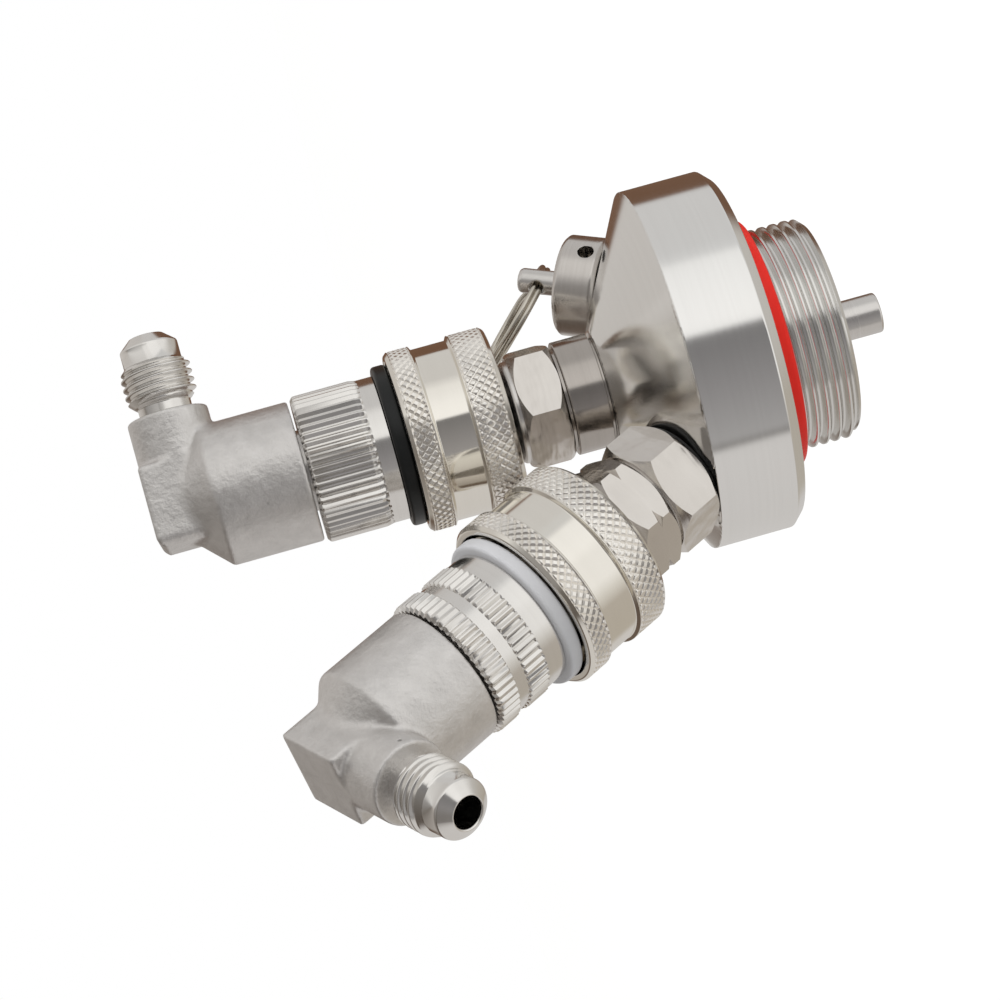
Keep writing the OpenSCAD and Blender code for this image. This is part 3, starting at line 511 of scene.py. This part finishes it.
def capParts():
    c = cap
    low, high = -c["neckChamfer"], c["flangeZ"] - c["sealT"] + c["intoSeal"]
    endR = c["neckR"] - c["threadDepth"] - 0.05
    thread = helixWall(low, high, c["neckR"], c["neckR"] - c["threadDepth"], c["pitch"], endR, 240)
    outside = soften([
        [endR, high], [c["reliefR"], c["flangeZ"]], [c["flangeR"] - c["edge"], c["flangeZ"]],
        [c["flangeR"], c["flangeZ"] + c["edge"]], [c["flangeR"], c["coneZ"]], [0.0, c["coneZ"] + 0.02],
        [0.0, c["boreTop"]], [c["boreR"], c["boreTop"]], [c["boreR"], low], [endR, low]], c["round"],
        closed=False)
    points, faces = revolve(outside, 240, False)
    reach = c["flangeR"] + 0.3
    cone = levelSurface(coneForm, (-reach, -reach, c["coneZ"] - c["coneSink"] - 0.4),
                        (reach, reach, c["landZ"] + 0.5), c["cell"])
    return [(*thread, capPlace, threadSteel), (points, faces, capPlace, polishedSteel),
            (*cone, capPlace, polishedSteel)]


makePiece("capBody", capParts(), "cap", "cap_body")

seal = {"inner": 16.7, "outer": 19.7, "low": 8.5, "high": 11.5, "round": 0.8}
ring = soften([[seal["inner"], seal["low"]], [seal["outer"], seal["low"]], [seal["outer"], seal["high"]],
               [seal["inner"], seal["high"]]], seal["round"], 6)
makePiece("neckSeal", [(*revolve(ring, 200), capPlace, redSilicone)], "cap", "neck_seal")

stub = {"outer": 3.175, "bore": 2.3, "low": -9.3, "high": 27.7, "round": 0.6}
tube = soften([[stub["bore"], stub["low"]], [stub["outer"], stub["low"]], [stub["outer"], stub["high"]],
               [stub["bore"], stub["high"]]], stub["round"], 5)
makePiece("dipTubeStub", [(*revolve(tube, 96), capPlace, turnedSteel)],
          "cap", "dip_tube_stub")
print("cap made")


# Posts and adapters

post = {
    "flats": 17.46, "liquidTurn": 40.0, "gasTurn": 36.0, "footR": 8.1, "footLow": -0.5, "footTop": 0.6,
    "shoulder": 1.2, "waistR": 6.45, "waistLow": 2.5, "waistHigh": 7.2, "headR": 7.62, "headLow": 8.6,
    "grooveR": 6.1, "grooveLow": 12.25, "grooveHigh": 14.15, "lead": 1.2, "height": 19.0, "boreR": 5.2,
    "topHoleR": 3.4, "roof": 1.5, "threadR": 7.1, "round": 0.25,
}
gasNotch = {"radius": 9.33, "slope": 0.75, "at": -3.85}


def postParts(place, turn, notch):
    p = post
    hexagon = hexWall(p["flats"], -station["hexHeight"], 0.0, turn, p["threadR"] + 0.05, notch=notch)
    roofLow = p["height"] - p["roof"]
    body = soften([
        [p["boreR"], p["footLow"]], [p["footR"], p["footLow"]], [p["footR"], p["footTop"]],
        [p["headR"], p["shoulder"]], [p["waistR"], p["waistLow"]], [p["waistR"], p["waistHigh"]],
        [p["headR"], p["headLow"]], [p["headR"], p["grooveLow"]], [p["grooveR"], p["grooveLow"]],
        [p["grooveR"], p["grooveHigh"]], [p["headR"], p["grooveHigh"]], [p["headR"], p["height"] - p["lead"]],
        [p["headR"] - p["lead"], p["height"]], [p["topHoleR"], p["height"]], [p["topHoleR"], roofLow],
        [p["boreR"], roofLow]], p["round"])
    return [(*hexagon, place, hexSteel), (*revolve(body, 120), place, turnedSteel)]


makePiece("liquidPost", postParts(liquidPlace, post["liquidTurn"], None),
          "cap", "liquid_post", 24)
makePiece("gasPost", postParts(gasPlace, post["gasTurn"], gasNotch),
          "cap", "gas_post", 24)

adapter = {
    "ringR": 9.0, "footR": 8.1, "footHigh": 0.5, "ringEdge": 0.1, "topEdge": 0.12, "seamR": 8.0,
    "spigotR": 6.0, "liquidSpigot": 7.8, "gasSpigot": 10.2, "boreR": 2.3, "threadTop": -0.8, "gasTurn": 19.0,
    "reach": 0.8, "flangeIn": 0.2, "liquidRound": 0.12, "gasRound": 0.1,
}


# The part of both outlines above the ring or hexagon: seam, thread and bore.
def adapterNeck(low):
    a = adapter
    return [[a["seamR"], low], [a["seamR"], -station["hexHeight"]], [post["threadR"], -station["hexHeight"]],
            [post["threadR"], a["threadTop"]], [a["boreR"], a["threadTop"]]]


def liquidAdapterOutline():
    a = adapter
    high = -station["hexHeight"] - station["seam"]
    low = high - station["adapterRing"]
    foot, edge = low + a["footHigh"], a["ringEdge"]
    return soften([
        [a["boreR"], low - a["liquidSpigot"]], [a["spigotR"], low - a["liquidSpigot"]], [a["spigotR"], low],
        [a["footR"], low], [a["footR"], foot], [a["ringR"] - edge, foot], [a["ringR"], foot + edge],
        [a["ringR"], high - a["topEdge"]], [a["ringR"] - a["topEdge"], high], *adapterNeck(high)],
        a["liquidRound"])


# the liquid adapter ring takes the darker steel with painted shade
makePiece("liquidAdapter", [(*revolve(liquidAdapterOutline(), 160), liquidPlace, shadedAdapterSteel)],
          "cap", "liquid_adapter")

gasHexLow = -2 * station["hexHeight"] - station["seam"]


def gasAdapterParts():
    a = adapter
    spigotLow, inside = gasHexLow - a["gasSpigot"], gasHexLow + a["flangeIn"]
    core = soften([[a["boreR"], spigotLow], [a["spigotR"], spigotLow], [a["spigotR"], inside],
                   *adapterNeck(inside)], a["gasRound"])
    hexagon = hexWall(post["flats"], gasHexLow - a["reach"], gasHexLow + station["hexHeight"], a["gasTurn"],
                      a["spigotR"] - 0.2)
    return [(*hexagon, gasPlace, hexSteel), (*revolve(core, 120), gasPlace, turnedSteel)]


makePiece("gasAdapter", gasAdapterParts(), "cap", "gas_adapter", 24)

portSeal = {"innerR": 6.04, "outerR": 8.25, "round": 0.35}
washerLow = gasHexLow - station["portSeal"]
washer = soften([[portSeal["innerR"], washerLow], [portSeal["outerR"], washerLow],
                 [portSeal["outerR"], gasHexLow], [portSeal["innerR"], gasHexLow]], portSeal["round"])
makePiece("gasPortSeal", [(*revolve(washer, 120), gasPlace, blackRubber)],
          "cap", "gas_port_seal")
print("posts made")


# Disconnects: collar, colour ring, cap nut

collar = {"low": 1.85, "high": 17.85, "outerR": 14.3, "waistR": 13.67, "bandLow": 6.15, "bandHigh": 4.4,
          "mouthR": 12.86, "boreR": 10.62, "pocketR": 11.77, "landTop": 8.45, "lipTop": 3.15,
          "rim": 0.75, "inset": 0.45, "shoulder": 0.12, "mouthEdge": 0.5, "topEdge": 0.55, "count": 60,
          "depth": 0.26, "mouthRound": 0.22, "waistRound": 0.12, "perDiamond": 8}


def collarParts(place):
    c = collar
    lowA, highA = c["low"] + c["rim"], c["low"] + c["bandLow"] - c["inset"]
    lowB, highB = c["high"] - c["bandHigh"] + c["inset"], c["high"] - c["rim"] + 0.15
    base = c["outerR"]
    mouth = soften([
        [base, lowA], [base - c["mouthEdge"], c["low"] + c["shoulder"]], [c["pocketR"], c["low"]],
        [c["pocketR"], c["lipTop"]], [c["boreR"], c["lipTop"]], [c["boreR"], c["landTop"]],
        [c["mouthR"], c["landTop"]], [c["mouthR"], c["high"]], [base - c["topEdge"], c["high"]],
        [base, highB]], c["mouthRound"], closed=False)
    waist = soften([
        [base, highA], [base, highA + c["shoulder"]], [c["waistR"], c["low"] + c["bandLow"]],
        [c["waistR"], c["high"] - c["bandHigh"]], [base, lowB - c["shoulder"]], [base, lowB]],
        c["waistRound"], closed=False)
    steps = c["count"] * c["perDiamond"]
    return [(*revolve(mouth, steps, False), place, nickel), (*revolve(waist, steps, False), place, nickel),
            (*knurlWall(base, lowA, highA, c["count"], c["depth"]), place, knurlNickel),
            (*knurlWall(base, lowB, highB, c["count"], c["depth"]), place, knurlNickel)]


colourRing = {"innerR": 9.64, "outerR": 12.67, "low": 17.85, "high": 20.25, "round": 0.7}
nut = {"low": 20.25, "high": 33.45, "outerR": 11.6, "webLow": 30.05, "innerR": 8.4, "threadR": 9.64,
       "socketTop": 27.05, "holeR": 6.52, "count": 54, "depth": 0.42, "plainStep": 0.25, "liquidPlain": 2.6,
       "gasPlain": 3.4, "groove": 1.9, "chamfer": 0.2, "rise": 1.2, "topEdge": 0.4}


def colourRingOutline():
    r = colourRing
    return soften([[r["innerR"], r["low"]], [r["outerR"], r["low"]], [r["outerR"], r["high"]],
                   [r["innerR"], r["high"]]], r["round"], 6)


# Two fluted bands with a plain groove between them: the columns are radius and height.
def gasNutWall(plain):
    n = nut
    step, top, outer = n["low"] + n["gasPlain"], n["high"] - n["topEdge"], n["outerR"]
    band = (n["high"] - step - n["groove"]) / 2
    lowEnd, highStart = step + band, n["high"] - band
    wall = [[plain - n["chamfer"], n["low"]], [plain, n["low"] + n["chamfer"]], [plain, step],
            [plain + n["plainStep"], step + 0.12], [outer, step + 0.3], [outer, lowEnd - 0.3],
            [plain + 0.1, lowEnd - 0.12], [plain - 0.25, lowEnd], [plain - 0.25, lowEnd + 0.05],
            [plain - 0.25, highStart - 0.05], [plain - 0.25, highStart], [plain + 0.1, highStart + 0.12],
            [outer, highStart + 0.3], [outer, top - 0.3], [outer - 0.1, top], [outer - 0.6, n["high"]]]
    bands = [(step + 0.05, lowEnd - 0.02, False, False), (highStart + 0.02, n["high"] + 1, False, False)]
    return wall, bands


# A plain collar that rises into one band of flutes, which run out unevenly.
def liquidNutWall(plain):
    n = nut
    step, top, outer = n["low"] + n["liquidPlain"], n["high"] - n["topEdge"], n["outerR"]
    ramp = np.stack([np.linspace(plain, outer, 9), np.linspace(step, step + n["rise"], 9)], 1)
    wall = [[plain - n["chamfer"], n["low"]], [plain, n["low"] + n["chamfer"]], [plain, step - 0.1],
            *ramp, [outer, top - 0.3], [outer - 0.1, top], [outer - 0.6, n["high"]]]
    return wall, [(step, n["high"] + 1, True, False)]


def nutParts(place, gas):
    n = nut
    plain = n["outerR"] - n["plainStep"]
    wall, bands = gasNutWall(plain) if gas else liquidNutWall(plain)
    outer = flutedWall(wall, n["count"], n["depth"], bands, 3 if gas else 5)
    steps = n["count"] * fluteShape.shape[1]
    a = ((np.arange(n["count"])[:, None] + fluteShape[:1]) / n["count"]).ravel() * 2 * np.pi
    rim = outer[0].reshape(steps, -1, 3)[:, -1]
    inner = np.array([[n["holeR"], n["high"]], [n["holeR"], n["webLow"]], [n["innerR"], n["webLow"]],
                      [n["innerR"], n["socketTop"]], [n["threadR"], n["socketTop"]],
                      [n["threadR"], n["low"]], [plain - n["chamfer"], n["low"]]])
    inside = np.stack([np.outer(np.cos(a), inner[:, 0]), np.outer(np.sin(a), inner[:, 0]),
                       np.tile(inner[:, 1], (steps, 1))], -1)
    inside = np.concatenate([rim[:, None], inside], 1)
    faces = sheetFaces(steps, inside.shape[1], True)
    return [(*outer, place, nutSteel), (inside.reshape(-1, 3), faces, place, nutSteel)]


for side, place, plastic, slot in (("liquid", liquidPlace, blackPlastic, "black_plastic"),
                                   ("gas", gasPlace, greyPlastic, "grey_plastic")):
    makePiece(side + "Collar", collarParts(place), side + "_collar", side + "_collar", 28)
    makePiece(side + "ColourRing", [(*revolve(colourRingOutline(), 160), place, plastic)],
              side + "_disconnect", side + "_colour_ring")
    makePiece(side + "CapNut", nutParts(place, side == "gas"), side + "_disconnect", side + "_cap_nut",
              24)
print("disconnects made")


# Elbows

elbow = {
    "barrelR": 11.07, "barrel": 14.3, "half": 6.35, "back": 6.3, "squareEnd": 6.65, "front": 14.1,
    "edge": 0.6, "fillet": 0.8, "shoulder": 0.35, "round": 0.5, "bevel": 1.0, "boreR": 2.375, "cell": 0.36,
    "neckR": 4.15, "landR": 4.55, "threadR": 5.555, "threadDepth": 0.8, "pitch": 1.3, "neckEnd": 16.1,
    "threadEnd": 22.5, "noseEnd": 25.25, "tip": 26.93, "mouthR": 2.625, "tubeLow": 8.1, "tubeWall": 1.4,
}
spigot = {"boreR": 3.2, "outerR": 6.4, "low": -5.81, "high": 0.4, "clipR": 5.5, "clipLow": -4.91,
          "clipHigh": -4.01, "ringR": 5.3, "ringLow": -2.76, "ringHigh": -1.16, "round": 0.1}


# Distance field of the casting: a turned barrel with a conical shoulder, joined by fillets to a square
# bar with a bevelled back, which runs into a round boss.
def castForm(p):
    e = elbow
    x, y, z = p.T
    rho = np.hypot(x, y)
    barrel = cutSoft(rho - e["barrelR"], (rho + z - e["barrelR"] - e["barrel"]) * 0.7071, e["shoulder"])
    barrel = cutSoft(barrel, -z, e["round"])
    barrel = np.maximum(barrel, z - station["flareAxis"] - 2)
    zc = z - station["flareAxis"]
    across, over = np.abs(y) - e["half"], np.abs(zc) - e["half"]
    square = cutSoft(across, over, e["edge"])
    bevel = (np.maximum(np.abs(y), np.abs(zc)) - x - (e["half"] + e["back"] - e["bevel"])) * 0.7071
    bar = cutSoft(square, np.maximum(-x - e["back"], bevel), e["round"])
    bar = cutSoft(bar, x - e["squareEnd"], 0.8)
    boss = cutSoft(np.hypot(y, zc) - e["half"], x - e["front"], e["round"])
    boss = np.maximum(boss, -x)
    block = np.maximum(joinSoft(bar, boss, e["fillet"]), np.maximum(across, over))
    form = joinSoft(barrel, block, e["fillet"])
    return np.maximum(form, e["boreR"] - np.hypot(y, zc) - 60.0 * (x < 3))


def spigotOutline():
    s = spigot
    outer = s["outerR"]
    return soften([
        [s["boreR"], s["low"]], [outer, s["low"]], [outer, s["clipLow"]], [s["clipR"], s["clipLow"]],
        [s["clipR"], s["clipHigh"]], [outer, s["clipHigh"]], [outer, s["ringLow"]],
        [s["ringR"], s["ringLow"]], [s["ringR"], s["ringHigh"]],
        [outer, s["ringHigh"]], [outer, s["high"]], [s["boreR"], s["high"]]], s["round"])


def elbowParts(postPlace, turn):
    e = elbow
    a = np.radians(turn)
    spin = np.eye(4)
    spin[:3, :3] = [[np.cos(a), -np.sin(a), 0], [np.sin(a), np.cos(a), 0], [0, 0, 1]]
    place = along(postPlace, station["elbowFace"]) @ spin
    flare = place @ np.array([[0, 0, 1, 0], [0, 1, 0, 0], [-1, 0, 0, station["flareAxis"]], [0, 0, 0, 1.0]])
    cast = levelSurface(castForm, (-11.9, -11.9, -0.8), (14.3, 11.9, 26.6), e["cell"])
    root = e["threadR"] - e["threadDepth"]
    thread = helixWall(e["neckEnd"], e["threadEnd"], e["threadR"], root, e["pitch"], e["landR"],
                       120, 16, 1.05)
    neck = soften([
        [e["boreR"], e["tubeLow"]], [e["boreR"] + e["tubeWall"], e["tubeLow"]],
        [e["neckR"], e["front"] - 0.3], [e["neckR"], e["neckEnd"] - 0.3], [e["landR"], e["neckEnd"]]],
        0.15, closed=False)
    nose = soften([
        [e["landR"], e["threadEnd"]], [e["landR"], e["noseEnd"]], [e["mouthR"], e["tip"]],
        [e["boreR"], e["tip"] - 0.25], [e["boreR"], e["tubeLow"]]], 0.25, closed=False)
    return [(*cast, place, castSteel), (*revolve(spigotOutline(), 96), place, turnedSteel),
            (*thread, flare, flareSteel), (*revolve(neck, 120, False), flare, flareSteel),
            (*revolve(nose, 120, False), flare, flareSteel)]


for side, place in (("liquid", liquidPlace), ("gas", gasPlace)):
    makePiece(side + "Elbow", elbowParts(place, station[side + "Turn"]), side + "_elbow", side + "_elbow",
              60)
print("elbows made")


# Relief valve and pull ring

relief = {
    "outerR": 8.1, "height": 6.9, "edge": 0.6, "ventR": 1.3, "ventAt": 2.48, "boreR": 2.12, "round": 0.15,
    "stemR": 2.0, "stemLow": 5.0, "stemTip": 14.4, "dome": 0.9, "holeR": 1.15, "holeTurn": 100.0,
    "holeEdge": 0.35,
}


# Distance field of the housing: a chamfered drum with its stem hole and two vents.
def housingForm(p):
    e = relief
    x, y, z = p.T
    rho = np.hypot(x, y)
    drum = cutSoft(rho - e["outerR"], np.abs(z - e["height"] / 2) - e["height"] / 2, 0.25)
    chamfer = (rho + np.abs(z - e["height"] / 2) - e["outerR"] - e["height"] / 2 + e["edge"]) * 0.7071
    drum = cutSoft(drum, chamfer, e["round"])
    drum = cutSoft(drum, e["boreR"] - rho, e["round"])
    return cutSoft(drum, e["ventR"] - np.hypot(x, z - e["ventAt"]), e["round"])


# Distance field of the stem: a rod with a domed edge and the cross hole.
def stemForm(p):
    e = relief
    x, y, z = p.T
    rod = cutSoft(np.hypot(x, y) - e["stemR"], z - e["stemTip"], e["dome"])
    rod = np.maximum(rod, e["stemLow"] - z)
    a = np.radians(e["holeTurn"])
    across = x * np.cos(a) + y * np.sin(a)
    return cutSoft(rod, e["holeR"] - np.hypot(across, z - station["crossHole"]), e["holeEdge"])


housing = levelSurface(housingForm, (-8.5, -8.5, -0.4), (8.5, 8.5, 7.3), 0.21)
makePiece("reliefHousing", [(*housing, reliefPlace, satinSteel)], "cap", "relief_housing", 40)
stem = levelSurface(stemForm, (-2.4, -2.4, 4.6), (2.4, 2.4, 14.8), 0.14)
makePiece("reliefStem", [(*stem, reliefPlace, turnedSteel)], "relief_stem", "relief_stem", 50)

pullRing = {"meanR": 10.0, "wireR": 0.5, "gap": 0.44, "lean": -60.0, "split": 95.0, "crossing": 34.0}


# Two turns of wire: the angle runs through 720 degrees and the turn's side changes from one to the other
# over the crossing, half-way round.
def splitRing():
    e = pullRing
    t = np.linspace(0, 720, 400)
    s = np.clip((t - 360) / e["crossing"] + 0.5, 0, 1)
    level = e["gap"] * (2 * s * s * (3 - 2 * s) - 1)
    a = np.radians(t + e["split"])
    return np.stack([e["meanR"] * np.cos(a), e["meanR"] * np.sin(a), level], 1)


# The ring's place: it hangs from the cross hole and leans about the hole's own axis.
def hangRing():
    a, b = np.radians(relief["holeTurn"]), np.radians(pullRing["lean"])
    turnZ = np.array([[np.cos(a), -np.sin(a), 0], [np.sin(a), np.cos(a), 0], [0, 0, 1]])
    leanY = np.array([[np.cos(b), 0, np.sin(b)], [0, 1, 0], [-np.sin(b), 0, np.cos(b)]])
    hole = along(placeOn(reliefPlace[:3, 3], reliefPlace[:3, 2]), station["crossHole"])
    swung = hole[:3, :3] @ turnZ @ leanY
    place = np.eye(4)
    place[:3, :3] = swung @ np.array([[0, 0, 1], [0, 1, 0], [-1, 0, 0.0]])
    place[:3, 3] = hole[:3, 3] + swung @ np.array([0, 0, pullRing["meanR"]])
    return place


makePiece("pullRing", [(*roundWire(splitRing(), pullRing["wireR"]), hangRing(), wireSteel)],
          "pull_ring", "pull_ring", 40)
print("relief valve made")


# Carried-over inner pieces keep their solids and take a finish
finishOf = {
    "polished_steel": polishedSteel, "turned_steel": turnedSteel, "satin_steel": nutSteel,
    "cast_steel": castSteel, "nickel_collar": nickel, "ball_steel": nickel, "spring_steel": wireSteel,
    "ring_steel": wireSteel, "red_silicone": redSilicone, "black_rubber": blackRubber,
    "black_plastic": blackPlastic, "grey_plastic": greyPlastic,
}
slotOf = {part["node"]: part["material_slot"] for part in frame["record"]["subparts"]}
for name, node in frame["nodes"].items():
    node.data.materials.clear()
    node.data.materials.append(finishOf[slotOf[name]])


# Camera, light and floor

view = {  # the photograph's camera: rows are its right, down and forward in the object's frame
    "right": (0.2466, -0.1287, -0.9606), "down": (0.7056, -0.6557, 0.2689),
    "forward": (-0.6644, -0.7441, -0.0709),
    "centre": (25.725, -20.03, 474.4), "centreHeight": 25.3, "lens": 110.0, "sensor": 36.0,
}
rows = np.array([view["right"], view["down"], view["forward"]])
u, _, v = np.linalg.svd(rows)
rows = u @ v
eye = rows.T @ -(np.array(view["centre"]) - view["centreHeight"] * rows[:, 2]) * 0.001
cameraData = bpy.data.cameras.new("camera")
cameraData.lens, cameraData.sensor_width = view["lens"], view["sensor"]
cameraData.clip_start, cameraData.clip_end = 0.01, 20.0
camera = bpy.data.objects.new("camera", cameraData)
bpy.context.scene.collection.objects.link(camera)
axes = np.stack([rows[0], -rows[1], -rows[2]], 1)
camera.matrix_world = Matrix([[*axes[k], eye[k]] for k in range(3)] + [[0, 0, 0, 1]])
bpy.context.scene.camera = camera

up, toCamera, right = -rows[1], -rows[2], rows[0]
studio = {"world": 0.55, "floor": (0.92, 0.92, 0.91), "glow": 1.49, "glowShare": 0.5}


# A square lamp at a distance (metres) in a direction, facing the object.
def softBox(name, direction, distance, size, power, colour=(1, 1, 1)):
    lamp = bpy.data.lights.new(name, "AREA")
    lamp.shape, lamp.size, lamp.size_y, lamp.energy, lamp.color = "RECTANGLE", size[0], size[1], power, colour
    holder = bpy.data.objects.new(name, lamp)
    bpy.context.scene.collection.objects.link(holder)
    d = np.array(direction) / np.linalg.norm(direction)
    middle = np.array([0.0, 0.0, 0.05])
    z = d
    x = np.cross(up, z)
    x /= np.linalg.norm(x)
    y = np.cross(z, x)
    at = middle + d * distance
    holder.matrix_world = Matrix([[x[k], y[k], z[k], at[k]] for k in range(3)] + [[0, 0, 0, 1]])
    holder.visible_glossy = False


softBox("overheadBox", 0.75 * up + 0.55 * toCamera, 0.9, (1.0, 0.5), 6.0)
softBox("sideBox", 0.35 * up + 0.5 * toCamera - 0.9 * right, 0.9, (0.5, 0.5), 2.0)

world = bpy.data.worlds.new("studio")
bpy.context.scene.world = world
world.use_nodes = True
world.node_tree.nodes.clear()


class WorldGraph(Graph):
    def __init__(self, tree):
        self.tree = tree


w = WorldGraph(world.node_tree)
direction = w.node("ShaderNodeTexCoord", {}, {}, "Generated")


def towards(axis):
    return w.node("ShaderNodeVectorMath", {"operation": "DOT_PRODUCT"}, {0: direction, 1: tuple(axis)},
                  "Value")


angle = towards(up).math("ARCTAN2", towards(up), towards(toCamera)) * (1 / (2 * np.pi)) + 0.5
bands = {  # the share of the way round the picture's level axis, from behind through below, front and above
    "middle": [(0.0, (0.60, 0.58, 0.56)), (0.08, (0.64, 0.62, 0.60)), (0.335, (0.68, 0.66, 0.645)),
               (0.346, (0.22, 0.21, 0.20)), (0.358, (0.40, 0.39, 0.385)), (0.45, (0.30, 0.29, 0.29)),
               (0.545, (0.20, 0.195, 0.195)), (0.549, (1.05, 1.04, 1.02)), (0.672, (0.96, 0.955, 0.94)),
               (0.685, (0.68, 0.68, 0.675)), (0.845, (0.70, 0.695, 0.69)), (0.853, (0.17, 0.095, 0.06)),
               (0.99, (0.17, 0.095, 0.06))],
    "left": [(0.0, (0.45, 0.42, 0.39)), (0.10, (0.15, 0.11, 0.085)), (0.30, (0.10, 0.08, 0.065)),
             (0.40, (0.16, 0.145, 0.13)), (0.53, (0.26, 0.25, 0.24)), (0.56, (0.95, 0.94, 0.92)),
             (0.66, (0.90, 0.89, 0.87)), (0.70, (0.66, 0.65, 0.64)), (0.845, (0.66, 0.65, 0.64)),
             (0.855, (0.17, 0.095, 0.06)), (0.99, (0.17, 0.095, 0.06))],
    "farLeft": [(0.0, (0.66, 0.63, 0.60)), (0.10, (0.42, 0.39, 0.36)), (0.30, (0.20, 0.18, 0.16)),
                (0.50, (0.36, 0.35, 0.34)), (0.58, (0.80, 0.79, 0.77)), (0.80, (0.62, 0.60, 0.58)),
                (0.99, (0.60, 0.57, 0.54))],
    "right": [(0.0, (0.48, 0.44, 0.38)), (0.30, (0.50, 0.46, 0.41)), (0.42, (0.74, 0.72, 0.68)),
              (0.50, (0.94, 0.93, 0.91)), (0.69, (0.92, 0.91, 0.89)), (0.80, (0.60, 0.58, 0.55)),
              (0.99, (0.48, 0.44, 0.38))],
}
path = {name: w.node("ShaderNodeLightPath", {}, {}, name)
        for name in ("Is Camera Ray", "Is Glossy Ray", "Is Transmission Ray")}
across = towards(right)


def bandsOf(name):
    return w.node("ShaderNodeValToRGB", {"stops": bands[name]}, {"Fac": angle}, "Color")


def past(start, end):
    return w.node("ShaderNodeMapRange", {"interpolation_type": "SMOOTHSTEP"},
                  {"Value": across, "From Min": start, "From Max": end})


mirrored = w.mixColour(past(-0.02, -0.14), bandsOf("middle"), bandsOf("left"))
mirrored = w.mixColour(past(-0.33, -0.45), mirrored, bandsOf("farLeft"))
mirrored = w.mixColour(past(0.44, 0.62), mirrored, bandsOf("right"))
soft = w.mixColour(path["Is Glossy Ray"] + path["Is Transmission Ray"], (studio["world"],) * 3, mirrored)
seen = w.mixColour(path["Is Camera Ray"], soft, (1.0, 1.0, 1.0))
w.node("ShaderNodeOutputWorld", {}, {"Surface": w.node("ShaderNodeBackground", {}, {"Color": seen})})

floorLevel = float(cadBox[0][2]) - 0.05
grid = np.linspace(-2.5, 2.5, 9)
gx, gy = np.meshgrid(grid, grid, indexing="ij")
floorMesh = bpy.data.meshes.new("floor")
floorMesh.from_pydata(np.stack([gx, gy, np.full_like(gx, floorLevel)], -1).reshape(-1, 3).tolist(), [],
                      sheetFaces(9, 9).tolist())
floor = bpy.data.objects.new("floor", floorMesh)
bpy.context.scene.collection.objects.link(floor)
floor.visible_glossy = False
g = Graph("paleFloor")
# half of what the camera sees is an even glow, and the matte half keeps the object's shadow
seenShare = g.node("ShaderNodeLightPath", {}, {}, "Is Camera Ray") * studio["glowShare"]
matte = g.node("ShaderNodeBsdfDiffuse", {}, {"Color": studio["floor"]})
glow = g.node("ShaderNodeEmission", {}, {"Color": (1.0, 1.0, 1.0), "Strength": studio["glow"]})
floorMesh.materials.append(g.finish(g.node("ShaderNodeMixShader", {}, {0: seenShare, 1: matte, 2: glow})))

bpy.context.scene.view_settings.view_transform = "Standard"
print("studio made")
